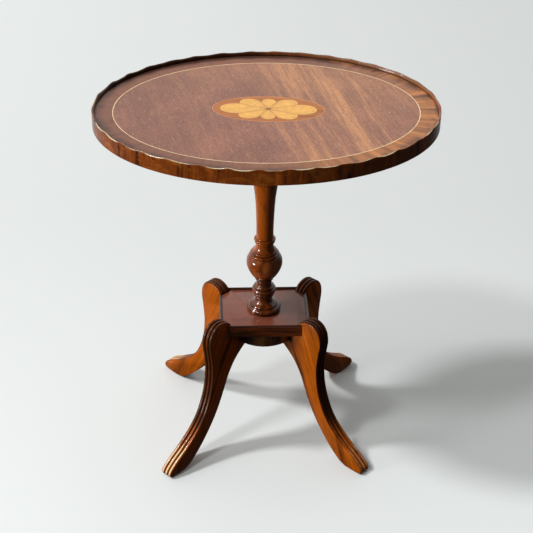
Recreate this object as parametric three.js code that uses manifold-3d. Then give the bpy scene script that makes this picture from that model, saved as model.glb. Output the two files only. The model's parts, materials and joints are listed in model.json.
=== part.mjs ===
// Oval tilt-top wine table: an inlaid top with a pie-crust gallery, hinged on a block at the head
// of a turned column, which stands on a small platform with four reeded sabre legs.
// Millimetres, +Z up. The origin is on the floor under the column; X runs along the oval's length.
import * as THREE from "three";
import { mergeVertices } from "three/addons/utils/BufferGeometryUtils.js";
import Module from "manifold-3d";

const wasm = await Module();
wasm.setup();

// ---- driving dimensions -------------------------------------------------------------------
const GAP = 0.3; // glue line or running clearance between neighbours

const TOP_HALF_LENGTH = 250; // outside of the gallery rim, along X
const TOP_HALF_DEPTH = 188; // outside of the gallery rim, along Y
const TOP_SURFACE = 564.6; // height of the polished veneer
const TOP_UNDERSIDE = 547.2;
const VENEER = 0.9;
const RIM_THICKNESS = 3.6;
const RIM_CREST = 571;
const RIM_WAVE = 1.8; // crest to trough of the pie-crust edge
const RIM_WAVES = 34;
const BAND_WIDTH = 25.4; // cross-banding between the gallery and the string line
const STRING_WIDTH = 1.3;
const OVAL_SEGMENTS = 40; // straight pieces in half of an oval

const PATERA_HALF_LENGTH = 81;
const PATERA_HALF_DEPTH = 40.5;
const PATERA_PLACE = [2.4, 2.7]; // its centre, a little off the middle of the top
const PATERA_TURN = THREE.MathUtils.degToRad(-4); // and let in a little askew
const FLOWER_EYE_R = 3.4;
const PETAL_PARTING = 0.8; // between the sides of two neighbouring petals
// A petal's foot and tip from the flower's centre, its half width, how slender its foot is, and the
// directions (degrees from +X) of the lines that part it from its neighbours.
const LONG_PETAL = { foot: [5.2, 0], tip: [70, 0], halfWidth: 15.4, slender: 1.2, parting: [-20, 20] };
const SLANT_PETAL = {
  foot: [4.4, 3],
  tip: [40.5, 25.5],
  halfWidth: 14,
  slender: 0.6,
  parting: [20, 62],
};
const SHORT_PETAL = {
  foot: [0, 4.8],
  tip: [0, 32.6],
  halfWidth: 10.8,
  slender: 0.5,
  parting: [62, 118],
};

const PIVOT_Y = -22; // hinge line, parallel to X
const PIVOT_Z = 535.3;
const PIVOT_R = 4;
const BLOCK_HALF_LENGTH = 55;
const BLOCK_REACH = 11.6; // from the hinge line to the block's top, bottom and front faces
const BLOCK_BACK = 45;
const BEARER_WIDTH = 20;
const BEARER_HALF_LENGTH = 132;
const BEARER_SWEEP = 30; // length of the swept-up ends
const BEARER_TIP = 7; // depth left at the very end
const BEARER_SCREW_Y = [-100, 40, 100];

const CATCH_Z = 537.6;
const BOLT_R = 3.4;
const BOLT_TIP_Y = 41;
const CASE_FRONT = 54;
const CASE_BACK = 90;
const CASE_BARREL_R = 8.2;
const CASE_PLATE_HALF_WIDTH = 24;
const CASE_PLATE = 1.6;
const COLLAR_FRONT = 65; // the bolt's collar, which the spring bears on
const COLLAR_BACK = 68;
const STRIKE_THICKNESS = 1.5;

const COLUMN_TENON_R = 14;
const FOOT_TENON_R = 12;
const COLUMN_SEAT = 219; // where the column's foot sits on the platform

const PLATFORM_HALF_LENGTH = 69.5;
const PLATFORM_HALF_DEPTH = 54;
const PLATFORM_UNDERSIDE = 201.5;
const BEAD_WIDTH = 4.6;
const BEAD_TOP = 222;
const BOSS_R = 53;
const BOSS_UNDERSIDE = 180.5;

const LEG_THICKNESS = 20;
const KNEE_X = 75.2; // plan position of the top of each knee
const KNEE_Y = 58.5;
const LEG_SPLAY = THREE.MathUtils.degToRad(47); // plan angle of a leg, from the X axis
const LEG_INNER = -24; // inner end of the knee, measured along the leg from the knee's top
const LEG_TONGUE = -56; // inner end of the leg under the platform

// ---- colours ------------------------------------------------------------------------------
const finish = (color, roughness, metalness = 0) =>
  new THREE.MeshStandardMaterial({ color, roughness, metalness });
const FIELD_WOOD = finish(0x8a5440, 0.3);
const BAND_WOOD = finish(0x7a4a34, 0.3);
const RIM_WOOD = finish(0x5c2c12, 0.35);
const TURNED_WOOD = finish(0x4a1a0a, 0.25);
const LEG_WOOD = finish(0x7a3a10, 0.3);
const CARCASE_WOOD = finish(0x6b4a30, 0.7);
const PEG_WOOD = finish(0xb08a5a, 0.7);
const BOXWOOD = finish(0xd8a860, 0.35);
const BRASS = finish(0xb08d4a, 0.35, 1);
const STEEL = finish(0x8a8a8c, 0.4, 1);

// ---- solids -------------------------------------------------------------------------------
// A closed three.js geometry as a manifold solid.
function solidOf(geometry) {
  const bare = geometry.clone();
  bare.deleteAttribute("normal");
  bare.deleteAttribute("uv");
  const merged = mergeVertices(bare, 1e-3);
  return new wasm.Manifold(
    new wasm.Mesh({
      numProp: 3,
      vertProperties: new Float32Array(merged.attributes.position.array),
      triVerts: new Uint32Array(merged.index.array),
    }),
  );
}

// A manifold solid as a three.js geometry.
function geometryOf(solid) {
  const mesh = solid.getMesh();
  const position = new Float32Array(mesh.numVert * 3);
  for (let i = 0; i < mesh.numVert; i++) {
    const start = i * mesh.numProp;
    position.set(mesh.vertProperties.subarray(start, start + 3), i * 3);
  }
  const geometry = new THREE.BufferGeometry();
  geometry.setAttribute("position", new THREE.BufferAttribute(position, 3));
  geometry.setIndex(new THREE.BufferAttribute(mesh.triVerts, 1));
  geometry.computeVertexNormals();
  return geometry;
}

const cut = (body, ...tools) =>
  geometryOf(tools.reduce((left, tool) => left.subtract(solidOf(tool)), solidOf(body)));
const join = (...bodies) =>
  geometryOf(bodies.map(solidOf).reduce((left, right) => left.add(right)));
// The largest of the separate bodies that a cut leaves.
function largest(geometry) {
  const bodies = solidOf(geometry).decompose();
  return geometryOf(bodies.reduce((a, b) => (a.volume() > b.volume() ? a : b)));
}

// A shape in the XY plane raised from z = low to z = high.
function slab(shape, low, high, curveSegments = 24) {
  const options = { depth: high - low, bevelEnabled: false, curveSegments };
  return new THREE.ExtrudeGeometry(shape, options).translate(0, 0, low);
}

function block(x0, x1, y0, y1, z0, z1) {
  const box = new THREE.BoxGeometry(x1 - x0, y1 - y0, z1 - z0);
  return box.translate((x0 + x1) / 2, (y0 + y1) / 2, (z0 + z1) / 2);
}

const ellipse = (halfX, halfY) =>
  new THREE.Shape().absellipse(0, 0, halfX, halfY, 0, 2 * Math.PI);

function ellipseRing(outerX, outerY, innerX, innerY) {
  const ring = ellipse(outerX, outerY);
  ring.holes.push(ellipse(innerX, innerY));
  return ring;
}

// A profile of [radius, height] pairs, from the axis back to the axis, turned about Z.
function turned(profile, segments = 32) {
  const points = profile.map(([r, z]) => new THREE.Vector2(r, z));
  return new THREE.LatheGeometry(points, segments).rotateX(Math.PI / 2);
}

// A round rod along an axis, from one coordinate to another.
function rod(axis, radius, from, to, segments = 20) {
  const cylinder = new THREE.CylinderGeometry(radius, radius, to - from, segments);
  if (axis === "x") cylinder.rotateZ(Math.PI / 2).translate((from + to) / 2, 0, 0);
  if (axis === "y") cylinder.translate(0, (from + to) / 2, 0);
  if (axis === "z") cylinder.rotateX(Math.PI / 2).translate(0, 0, (from + to) / 2);
  return cylinder;
}

// A slotted countersunk wood screw along +Z with its head at z = 0.
function woodScrew(headR, shankR, length) {
  const headDepth = headR - shankR;
  const body = turned(
    [
      [0, 0],
      [headR, 0],
      [shankR, headDepth],
      [shankR, length * 0.8],
      [0, length],
    ],
    16,
  );
  const slotHalf = headR * 0.15;
  return cut(body, block(-2 * headR, 2 * headR, -slotHalf, slotHalf, -1, headDepth * 0.4));
}

// The hole that a wood screw of the same sizes sits in, one gap larger all round.
const screwHole = (headR, shankR, length) =>
  turned(
    [
      [0, -2],
      [headR + GAP, -2],
      [headR + GAP, GAP],
      [shankR + GAP, headR - shankR + GAP],
      [shankR + GAP, length * 0.8 + GAP],
      [0, length + 2 * GAP],
    ],
    16,
  );

const table = new THREE.Group();

function add(name, geometry, material) {
  const mesh = new THREE.Mesh(geometry, material);
  mesh.name = name;
  table.add(mesh);
  return mesh;
}

const SIDES = { left: -1, right: 1 };
const ENDS = { front: -1, back: 1 };

// ---- top: board, veneers, stringing, gallery -------------------------------------------------
const boardX = TOP_HALF_LENGTH - RIM_THICKNESS - GAP;
const boardY = TOP_HALF_DEPTH - RIM_THICKNESS - GAP;
const boardTop = TOP_SURFACE - VENEER - GAP;
const veneerLow = TOP_SURFACE - VENEER;
const bearerX = BLOCK_HALF_LENGTH + GAP + BEARER_WIDTH / 2;
const BEARER_SCREW = [4.2, 2, 30];
const CATCH_SCREW = [2.8, 1.4, 12];
const bearerLow = PIVOT_Z - BLOCK_REACH;
const bearerHigh = TOP_UNDERSIDE - GAP;
const CATCH_SCREW_PLACES = [
  [-18, 60],
  [18, 84],
];

const bearerScrewPlaces = Object.entries(SIDES).flatMap(([side, sx]) =>
  BEARER_SCREW_Y.map((y, i) => ({ name: `bearer_screw_${side}_${i + 1}`, x: sx * bearerX, y })),
);
const catchPlateLow = TOP_UNDERSIDE - GAP - CASE_PLATE;

add(
  "top_board",
  cut(
    slab(ellipse(boardX, boardY), TOP_UNDERSIDE, boardTop, OVAL_SEGMENTS),
    ...bearerScrewPlaces.map(({ x, y }) =>
      screwHole(...BEARER_SCREW).translate(x, y, bearerLow + 3),
    ),
    ...CATCH_SCREW_PLACES.map(([x, y]) =>
      screwHole(...CATCH_SCREW).translate(x, y, catchPlateLow),
    ),
  ),
  CARCASE_WOOD,
);

const stringX = boardX - BAND_WIDTH;
const stringY = boardY - BAND_WIDTH;
const fieldX = stringX - STRING_WIDTH - GAP;
const fieldY = stringY - STRING_WIDTH - GAP;
const veneer = (shape, segments = OVAL_SEGMENTS) => slab(shape, veneerLow, TOP_SURFACE, segments);

add("crossband", veneer(ellipseRing(boardX, boardY, stringX + GAP, stringY + GAP)), BAND_WOOD);
add(
  "string_line",
  veneer(ellipseRing(stringX, stringY, stringX - STRING_WIDTH, stringY - STRING_WIDTH)),
  BOXWOOD,
);
// Flat points drawn about the patera's centre, carried to its place on the top.
function toPatera(points) {
  const centre = new THREE.Vector2(0, 0);
  return points.map(([x, y]) =>
    new THREE.Vector2(x, y).rotateAround(centre, PATERA_TURN).add(new THREE.Vector2(...PATERA_PLACE)),
  );
}
function pateraOval(halfX, halfY, segments = 48) {
  const angles = Array.from({ length: segments }, (_, i) => (i * 2 * Math.PI) / segments);
  return toPatera(angles.map((a) => [halfX * Math.cos(a), halfY * Math.sin(a)]));
}
const fieldShape = ellipse(fieldX, fieldY);
fieldShape.holes.push(
  new THREE.Path(pateraOval(PATERA_HALF_LENGTH + GAP, PATERA_HALF_DEPTH + GAP)),
);
add("field_veneer", veneer(fieldShape), FIELD_WOOD);

// The pie-crust gallery: a bent band whose upper edge rises and falls in even waves.
function galleryRim() {
  const innerX = TOP_HALF_LENGTH - RIM_THICKNESS;
  const innerY = TOP_HALF_DEPTH - RIM_THICKNESS;
  const band = slab(
    ellipseRing(TOP_HALF_LENGTH, TOP_HALF_DEPTH, innerX, innerY),
    TOP_UNDERSIDE,
    RIM_CREST,
    RIM_WAVES * 2,
  );
  const position = band.attributes.position;
  for (let i = 0; i < position.count; i++) {
    if (position.getZ(i) < RIM_CREST - 1) continue;
    const angle = Math.atan2(position.getY(i) / innerY, position.getX(i) / innerX);
    position.setZ(i, RIM_CREST - (RIM_WAVE / 2) * (1 - Math.cos(RIM_WAVES * angle)));
  }
  return band;
}
add("gallery_rim", galleryRim(), RIM_WOOD);

// ---- patera: a banded oval with an eight-petalled flower --------------------------------------
// A drop with its point at the foot: along = -L cos t and across = W sin t sin(t/2)^slender, where
// L is half its length and W gives it its half width. Its sides stop at the parting lines.
function petalOutline({ foot, tip, halfWidth, slender, parting }) {
  const steps = 28;
  const start = new THREE.Vector2(...foot);
  const axis = new THREE.Vector2(...tip).sub(start).multiplyScalar(0.5);
  const side = new THREE.Vector2(-axis.y, axis.x).normalize();
  const turns = Array.from({ length: steps }, (_, i) => (i * 2 * Math.PI) / steps);
  const across = turns.map((t) => Math.sin(t) * Math.abs(Math.sin(t / 2)) ** slender);
  const width = halfWidth / Math.max(...across);
  return turns.map((t, i) => {
    const point = start.clone().addScaledVector(axis, 1 - Math.cos(t));
    point.addScaledVector(side, -width * across[i]);
    parting.forEach((degrees, after) => {
      const angle = THREE.MathUtils.degToRad(degrees);
      const inwards = new THREE.Vector2(-Math.sin(angle), Math.cos(angle));
      if (after) inwards.negate();
      const short = PETAL_PARTING / 2 - point.dot(inwards);
      if (short > 0) point.addScaledVector(inwards, short);
    });
    return [point.x, point.y];
  });
}

// The same outline mirrored across the flower's axes, still counterclockwise.
function mirrored(outline, signX, signY) {
  const points = outline.map(([x, y]) => [signX * x, signY * y]);
  return signX * signY < 0 ? points.reverse() : points;
}

// The same outline moved outwards by a distance, each point along the normal of its neighbours.
function grown(outline, distance) {
  return outline.map((point, i) => {
    const before = outline.at(i - 1);
    const after = outline[(i + 1) % outline.length];
    const along = after.clone().sub(before).normalize();
    return new THREE.Vector2(point.x + distance * along.y, point.y - distance * along.x);
  });
}

const petals = [
  [LONG_PETAL, 1, 1],
  [SLANT_PETAL, 1, 1],
  [SHORT_PETAL, 1, 1],
  [SLANT_PETAL, -1, 1],
  [LONG_PETAL, -1, 1],
  [SLANT_PETAL, -1, -1],
  [SHORT_PETAL, 1, -1],
  [SLANT_PETAL, 1, -1],
].map(([petal, signX, signY]) => toPatera(mirrored(petalOutline(petal), signX, signY)));
const eyeOutline = pateraOval(FLOWER_EYE_R, FLOWER_EYE_R, 24);

const lineX = PATERA_HALF_LENGTH - STRING_WIDTH;
const lineY = PATERA_HALF_DEPTH - STRING_WIDTH;
const lineShape = new THREE.Shape(pateraOval(PATERA_HALF_LENGTH, PATERA_HALF_DEPTH));
lineShape.holes.push(new THREE.Path(pateraOval(lineX, lineY)));
add("patera_line", veneer(lineShape), BOXWOOD);

// The petals and the eye are let into the patera's ground. Between them it is too thin to keep.
const pocket = (outline) =>
  slab(new THREE.Shape(grown(outline, GAP)), veneerLow - 1, TOP_SURFACE + 1);
add(
  "patera_ground",
  largest(
    cut(
      veneer(new THREE.Shape(pateraOval(lineX - GAP, lineY - GAP))),
      ...petals.map(pocket),
      pocket(eyeOutline),
    ),
  ),
  RIM_WOOD,
);
petals.forEach((outline, i) =>
  add(`flower_petal_${i + 1}`, veneer(new THREE.Shape(outline)), BOXWOOD),
);
add("flower_eye", veneer(new THREE.Shape(eyeOutline)), BOXWOOD);

// ---- bearers, hinge pins and block --------------------------------------------------------------
const rearDown = (points) => new THREE.Shape(points.map(([y, z]) => new THREE.Vector2(y, z)));

// A rail under the board, running front to back, with its ends swept up.
function bearer(centreX) {
  const tip = bearerHigh - BEARER_TIP;
  const side = rearDown([
    [-BEARER_HALF_LENGTH, bearerHigh],
    [-BEARER_HALF_LENGTH, tip],
    [-BEARER_HALF_LENGTH + BEARER_SWEEP, bearerLow],
    [BEARER_HALF_LENGTH - BEARER_SWEEP, bearerLow],
    [BEARER_HALF_LENGTH, tip],
    [BEARER_HALF_LENGTH, bearerHigh],
  ]);
  const rail = slab(side, -BEARER_WIDTH / 2, BEARER_WIDTH / 2)
    .rotateX(Math.PI / 2)
    .rotateZ(Math.PI / 2)
    .translate(centreX, 0, 0);
  return rail;
}

const pinHole = (from, to) =>
  rod("x", PIVOT_R + GAP, from, to).translate(0, PIVOT_Y, PIVOT_Z);
const pinInner = BLOCK_HALF_LENGTH - 16;
const pinOuter = bearerX + BEARER_WIDTH / 2 - 1;

for (const [side, sx] of Object.entries(SIDES)) {
  const holes = BEARER_SCREW_Y.map((y) =>
    screwHole(...BEARER_SCREW).translate(sx * bearerX, y, bearerLow + 3),
  );
  const reach = [sx * (BLOCK_HALF_LENGTH - 5), sx * (pinOuter + 5)].sort((a, b) => a - b);
  add(`bearer_${side}`, cut(bearer(sx * bearerX), pinHole(...reach), ...holes), CARCASE_WOOD);
  const span = [sx * pinInner, sx * pinOuter].sort((a, b) => a - b);
  add(`pivot_pin_${side}`, rod("x", PIVOT_R, ...span).translate(0, PIVOT_Y, PIVOT_Z), STEEL);
}
for (const { name, x, y } of bearerScrewPlaces)
  add(name, woodScrew(...BEARER_SCREW), STEEL).position.set(x, y, bearerLow + 3);

// The block's side outline: its top front corner is rounded about the hinge line, so that the
// board clears it on the way up and lies against its front face when the top is vertical.
function blockShape() {
  const shape = new THREE.Shape();
  shape.moveTo(PIVOT_Y - BLOCK_REACH, PIVOT_Z - BLOCK_REACH);
  shape.lineTo(BLOCK_BACK, PIVOT_Z - BLOCK_REACH);
  shape.lineTo(BLOCK_BACK, PIVOT_Z + BLOCK_REACH);
  shape.absarc(PIVOT_Y, PIVOT_Z, BLOCK_REACH, Math.PI / 2, Math.PI, false);
  return shape;
}
const blockBody = slab(blockShape(), -BLOCK_HALF_LENGTH, BLOCK_HALF_LENGTH, 16)
  .rotateX(Math.PI / 2)
  .rotateZ(Math.PI / 2);
const STRIKE_SCREW = [2.4, 1.2, 12];
const STRIKE_SCREW_X = 11;
// A wood screw, or its hole, turned to run towards -Y from a face at the given Y.
const intoBack = (geometry, x, y) => geometry.rotateX(Math.PI / 2).translate(x, y, CATCH_Z);
const strikeBack = BLOCK_BACK + GAP + STRIKE_THICKNESS;
add(
  "top_block",
  cut(
    blockBody,
    rod("z", COLUMN_TENON_R + GAP, PIVOT_Z - 20, PIVOT_Z + 20, 32),
    pinHole(-BLOCK_HALF_LENGTH - 5, -pinInner + 1),
    pinHole(pinInner - 1, BLOCK_HALF_LENGTH + 5),
    rod("y", BOLT_R + 1, BOLT_TIP_Y - 2, BLOCK_BACK + 5).translate(0, 0, CATCH_Z),
    ...Object.values(SIDES).map((sx) =>
      intoBack(screwHole(...STRIKE_SCREW), sx * STRIKE_SCREW_X, strikeBack),
    ),
  ),
  CARCASE_WOOD,
);

// ---- catch: sprung bolt in a brass case, and its strike plate ----------------------------------
const SHANK_R = 1.8;
const COLLAR_R = 5;
const SPRING_CHAMBER_R = 5.6;
const chamberBack = CASE_BACK - 3;
const knobFront = CASE_BACK + 2;
const chamberFront = COLLAR_FRONT - 0.5;
const caseBarrel = rod("y", CASE_BARREL_R, CASE_FRONT, CASE_BACK, 24).translate(0, 0, CATCH_Z);
const casePlate = block(
  -CASE_PLATE_HALF_WIDTH,
  CASE_PLATE_HALF_WIDTH,
  CASE_FRONT,
  CASE_BACK,
  catchPlateLow,
  TOP_UNDERSIDE - GAP,
);
add(
  "catch_case",
  cut(
    join(caseBarrel, casePlate),
    rod("y", BOLT_R + GAP, CASE_FRONT - 5, chamberFront + 1).translate(0, 0, CATCH_Z),
    rod("y", SPRING_CHAMBER_R, chamberFront, chamberBack).translate(0, 0, CATCH_Z),
    rod("y", SHANK_R + GAP, chamberBack - 2, CASE_BACK + 5).translate(0, 0, CATCH_Z),
    ...CATCH_SCREW_PLACES.map(([x, y]) =>
      screwHole(...CATCH_SCREW).translate(x, y, catchPlateLow),
    ),
  ),
  BRASS,
);
CATCH_SCREW_PLACES.forEach(([x, y], i) =>
  add(`catch_screw_${i + 1}`, woodScrew(...CATCH_SCREW), BRASS).position.set(x, y, catchPlateLow),
);
// Turned about Z with height standing for Y, then laid back along Y.
const alongY = (profile, segments) =>
  turned(profile, segments).rotateX(-Math.PI / 2).translate(0, 0, CATCH_Z);
const boltEnd = knobFront + 5;
add(
  "catch_bolt",
  alongY(
    [
      [0, BOLT_TIP_Y],
      [BOLT_R - 1.4, BOLT_TIP_Y],
      [BOLT_R, BOLT_TIP_Y + 1.4],
      [BOLT_R, COLLAR_FRONT],
      [COLLAR_R, COLLAR_FRONT],
      [COLLAR_R, COLLAR_BACK],
      [SHANK_R, COLLAR_BACK],
      [SHANK_R, boltEnd],
      [0, boltEnd],
    ],
    24,
  ),
  BRASS,
);
add(
  "catch_knob",
  alongY(
    [
      [SHANK_R + GAP, knobFront],
      [4, knobFront],
      [3.4, knobFront + 2.5],
      [6.5, knobFront + 5],
      [7.5, knobFront + 8],
      [6, knobFront + 11],
      [0, knobFront + 12],
      [0, boltEnd + GAP],
      [SHANK_R + GAP, boltEnd + GAP],
      [SHANK_R + GAP, knobFront],
    ],
    24,
  ),
  BRASS,
);

// The spring pushes the collar forward: a closed coil of round wire.
class Helix extends THREE.Curve {
  constructor(radius, turns, from, to) {
    super();
    Object.assign(this, { radius, turns, from, to });
  }
  getPoint(t, target = new THREE.Vector3()) {
    const angle = 2 * Math.PI * this.turns * t;
    const x = this.radius * Math.cos(angle);
    const z = this.radius * Math.sin(angle);
    return target.set(x, this.from + (this.to - this.from) * t, z);
  }
}
const WIRE_R = 0.5;
const wireSection = new THREE.Shape().absarc(0, 0, WIRE_R, 0, 2 * Math.PI);
const springPath = new Helix(3.6, 6, COLLAR_BACK + 2 * WIRE_R, chamberBack - 2 * WIRE_R);
add(
  "catch_spring",
  new THREE.ExtrudeGeometry(wireSection, {
    steps: 60,
    curveSegments: 3,
    extrudePath: springPath,
  }).translate(0, 0, CATCH_Z),
  STEEL,
);

const strikeHalfHeight = 8;
add(
  "strike_plate",
  cut(
    block(-16, 16, BLOCK_BACK + GAP, strikeBack, CATCH_Z - strikeHalfHeight, CATCH_Z + strikeHalfHeight),
    rod("y", BOLT_R + 0.6, BLOCK_BACK - 5, BLOCK_BACK + 5).translate(0, 0, CATCH_Z),
    ...Object.values(SIDES).map((sx) =>
      intoBack(screwHole(...STRIKE_SCREW), sx * STRIKE_SCREW_X, strikeBack),
    ),
  ),
  BRASS,
);
for (const [side, sx] of Object.entries(SIDES))
  add(
    `strike_screw_${side}`,
    intoBack(woodScrew(...STRIKE_SCREW), sx * STRIKE_SCREW_X, strikeBack),
    BRASS,
  );

// ---- column ---------------------------------------------------------------------------------
// A quarter or half round in a turned profile: points on an ellipse between two angles.
function roundOf(r, z, halfWidth, halfHeight, fromDegrees, toDegrees, steps) {
  return Array.from({ length: steps + 1 }, (_, i) => {
    const t = fromDegrees + ((toDegrees - fromDegrees) * i) / steps;
    const angle = THREE.MathUtils.degToRad(t);
    return [r + halfWidth * Math.cos(angle), z + halfHeight * Math.sin(angle)];
  });
}
const bead = (r, z, out, halfHeight, steps = 3) =>
  roundOf(r, z, out, halfHeight, -90, 90, steps);

const blockUnderside = PIVOT_Z - BLOCK_REACH;
const tenonTop = PIVOT_Z + BLOCK_REACH - 1;
const tenonFoot = BOSS_UNDERSIDE + 2;
const columnProfile = [
  [0, tenonFoot],
  [FOOT_TENON_R, tenonFoot],
  [FOOT_TENON_R, COLUMN_SEAT + GAP],
  [25, COLUMN_SEAT + GAP],
  ...bead(22, 223.5, 4.6, 4.1), // foot torus
  [20.6, 229.6],
  [18.2, 231.8],
  [12.4, 238],
  [12.3, 241.4],
  ...bead(13, 244.6, 1.8, 1.5, 2),
  ...bead(14.6, 250.3, 2.6, 1.5, 2),
  ...bead(15.4, 256, 3.3, 3.3), // ringed bulge
  ...bead(14.2, 261.4, 1.8, 1.5, 2),
  [11.5, 268],
  [11.5, 272],
  ...bead(12.2, 276, 1.9, 1.7, 2), // collar
  [17.3, 281.5],
  [21.2, 287],
  [24.5, 293.5],
  [27, 300.5],
  [27.7, 307],
  [26.8, 313], // ball
  [24.2, 317.8],
  ...bead(20.6, 321.6, 1.9, 1.5, 2),
  ...bead(17.8, 326, 1.6, 1.4, 2),
  [13.2, 336],
  [13, 339.6],
  ...bead(13.2, 343, 2.3, 1.5, 2),
  ...bead(13.4, 347.2, 3.2, 2, 2), // ring
  [13, 354],
  [13.3, 372],
  [14, 395],
  [14.8, 410],
  [16.2, 426],
  [17.8, 440],
  [18.6, 446],
  ...bead(18.4, 449.4, 3, 2.4, 2),
  [18.2, 455],
  [19.4, 480],
  [21.6, 510],
  ...bead(21, blockUnderside - GAP - 5, 3.6, 4.2),
  [21, blockUnderside - GAP],
  [COLUMN_TENON_R, blockUnderside - GAP],
  [COLUMN_TENON_R, tenonTop],
  [0, tenonTop],
];
const WEDGE_TOP_HALF = 1.6;
const wedgeDepth = 16;
function wedge(halfThickness, halfWidth, low, high) {
  const shape = rearDown([
    [-0.4 * halfThickness, low],
    [0.4 * halfThickness, low],
    [halfThickness, high],
    [-halfThickness, high],
  ]);
  return slab(shape, -halfWidth, halfWidth).rotateX(Math.PI / 2).rotateZ(Math.PI / 2);
}
const turnOver = (geometry, z) => geometry.rotateX(Math.PI).translate(0, 0, 2 * z);
add(
  "column",
  cut(
    turned(columnProfile, 22),
    wedge(WEDGE_TOP_HALF + GAP, 20, tenonTop - wedgeDepth - GAP, tenonTop + 1),
    turnOver(wedge(WEDGE_TOP_HALF + GAP, 20, tenonFoot - wedgeDepth - GAP, tenonFoot + 1), tenonFoot),
  ),
  TURNED_WOOD,
);
add(
  "head_wedge",
  wedge(WEDGE_TOP_HALF, COLUMN_TENON_R - 2, tenonTop - wedgeDepth, tenonTop),
  PEG_WOOD,
);
add(
  "foot_wedge",
  turnOver(wedge(WEDGE_TOP_HALF, FOOT_TENON_R - 2, tenonFoot - wedgeDepth, tenonFoot), tenonFoot),
  PEG_WOOD,
);

// ---- platform, beads and boss -----------------------------------------------------------------
const platformTop = COLUMN_SEAT;
// Carries a geometry drawn in a leg's own frame (X along the leg from the knee, Y across it) to
// one of the four corners.
function toCorner(geometry, sx, sy) {
  const turn = Math.atan2(sy * Math.sin(LEG_SPLAY), sx * Math.cos(LEG_SPLAY));
  return geometry.rotateZ(turn).translate(sx * KNEE_X, sy * KNEE_Y, 0);
}
const corners = Object.entries(ENDS).flatMap(([end, sy]) =>
  Object.entries(SIDES).map(([side, sx]) => ({ place: `${end}_${side}`, sx, sy })),
);
const slotHalf = LEG_THICKNESS / 2 + GAP;
const legSlot = ({ sx, sy }) =>
  toCorner(
    block(LEG_INNER - GAP, 60, -slotHalf, slotHalf, PLATFORM_UNDERSIDE - 5, BEAD_TOP + 5),
    sx,
    sy,
  );
const DOWEL_R = 3.5;
const UPPER_DOWEL = { from: LEG_INNER - 12, to: LEG_INNER + 14, z: 210 };
const LOWER_DOWEL = { from: -60, to: -26, z: 191 };
function dowel({ from, to, z }, radius = DOWEL_R, extra = 0) {
  return rod("x", radius, from - extra, to + extra, 16).translate(0, 0, z);
}
const dowelHole = (spec, { sx, sy }) => toCorner(dowel(spec, DOWEL_R + GAP, GAP), sx, sy);

const tenonHole = () => rod("z", FOOT_TENON_R + GAP, BOSS_UNDERSIDE - 5, COLUMN_SEAT + 5, 32);
add(
  "platform",
  cut(
    block(
      -PLATFORM_HALF_LENGTH,
      PLATFORM_HALF_LENGTH,
      -PLATFORM_HALF_DEPTH,
      PLATFORM_HALF_DEPTH,
      PLATFORM_UNDERSIDE,
      platformTop,
    ),
    tenonHole(),
    ...corners.map(legSlot),
    ...corners.map((corner) => dowelHole(UPPER_DOWEL, corner)),
  ),
  TURNED_WOOD,
);
add(
  "platform_boss",
  cut(
    rod("z", BOSS_R, BOSS_UNDERSIDE, PLATFORM_UNDERSIDE - GAP, 48),
    tenonHole(),
    ...corners.map((corner) => dowelHole(LOWER_DOWEL, corner)),
  ),
  TURNED_WOOD,
);

// A small round-topped lip along one edge of the platform, mitred by the leg slots.
function edgeBead(halfLength) {
  const low = platformTop + GAP;
  const shape = new THREE.Shape();
  const round = BEAD_TOP - low - 1;
  shape.moveTo(-BEAD_WIDTH / 2, low);
  shape.lineTo(BEAD_WIDTH / 2, low);
  shape.lineTo(BEAD_WIDTH / 2, low + 1);
  shape.absellipse(0, low + 1, BEAD_WIDTH / 2, round, 0, Math.PI, false, 0);
  return slab(shape, -halfLength, halfLength, 8).rotateX(Math.PI / 2);
}
for (const [side, sx] of Object.entries(SIDES)) {
  const centre = sx * (PLATFORM_HALF_LENGTH - BEAD_WIDTH / 2);
  const strip = edgeBead(PLATFORM_HALF_DEPTH).translate(centre, 0, 0);
  add(`edge_bead_${side}`, cut(strip, ...corners.map(legSlot)), TURNED_WOOD);
}
for (const [end, sy] of Object.entries(ENDS)) {
  const centre = sy * (PLATFORM_HALF_DEPTH - BEAD_WIDTH / 2);
  const strip = edgeBead(PLATFORM_HALF_LENGTH).rotateZ(Math.PI / 2).translate(0, centre, 0);
  add(`edge_bead_${end}`, cut(strip, ...corners.map(legSlot)), TURNED_WOOD);
}

// ---- legs -------------------------------------------------------------------------------------
// The side outline of a sabre leg: X outwards from the top of the knee, Y upwards from the floor.
function legShape() {
  const point = ([x, z]) => new THREE.Vector2(x, z);
  const legTop = PLATFORM_UNDERSIDE - GAP;
  const shape = new THREE.Shape();
  shape.moveTo(LEG_INNER, legTop);
  shape.lineTo(LEG_INNER, platformTop + 1);
  shape.splineThru(
    [
      [-15, 228.6],
      [0, 232],
      [13, 227],
      [20.6, 216],
      [22.4, 201],
      [17.8, 165],
      [17.8, 137],
      [24, 107],
      [39.5, 73.5],
      [58, 53.5],
      [82, 36],
      [103, 23.5],
      [115.5, 13],
    ].map(point),
  );
  shape.quadraticCurveTo(121, 1.5, 108, 0);
  shape.lineTo(86, 0);
  shape.splineThru(
    [
      [72, 4.8],
      [54, 18.5],
      [27, 47.5],
      [3, 84.5],
      [-16, 126],
      [-32, 149],
      [LEG_TONGUE, 167],
    ].map(point),
  );
  shape.lineTo(LEG_TONGUE, legTop);
  return shape;
}
const bossRoom = () => rod("z", BOSS_R + GAP, BOSS_UNDERSIDE - GAP, PLATFORM_UNDERSIDE, 48);
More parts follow.
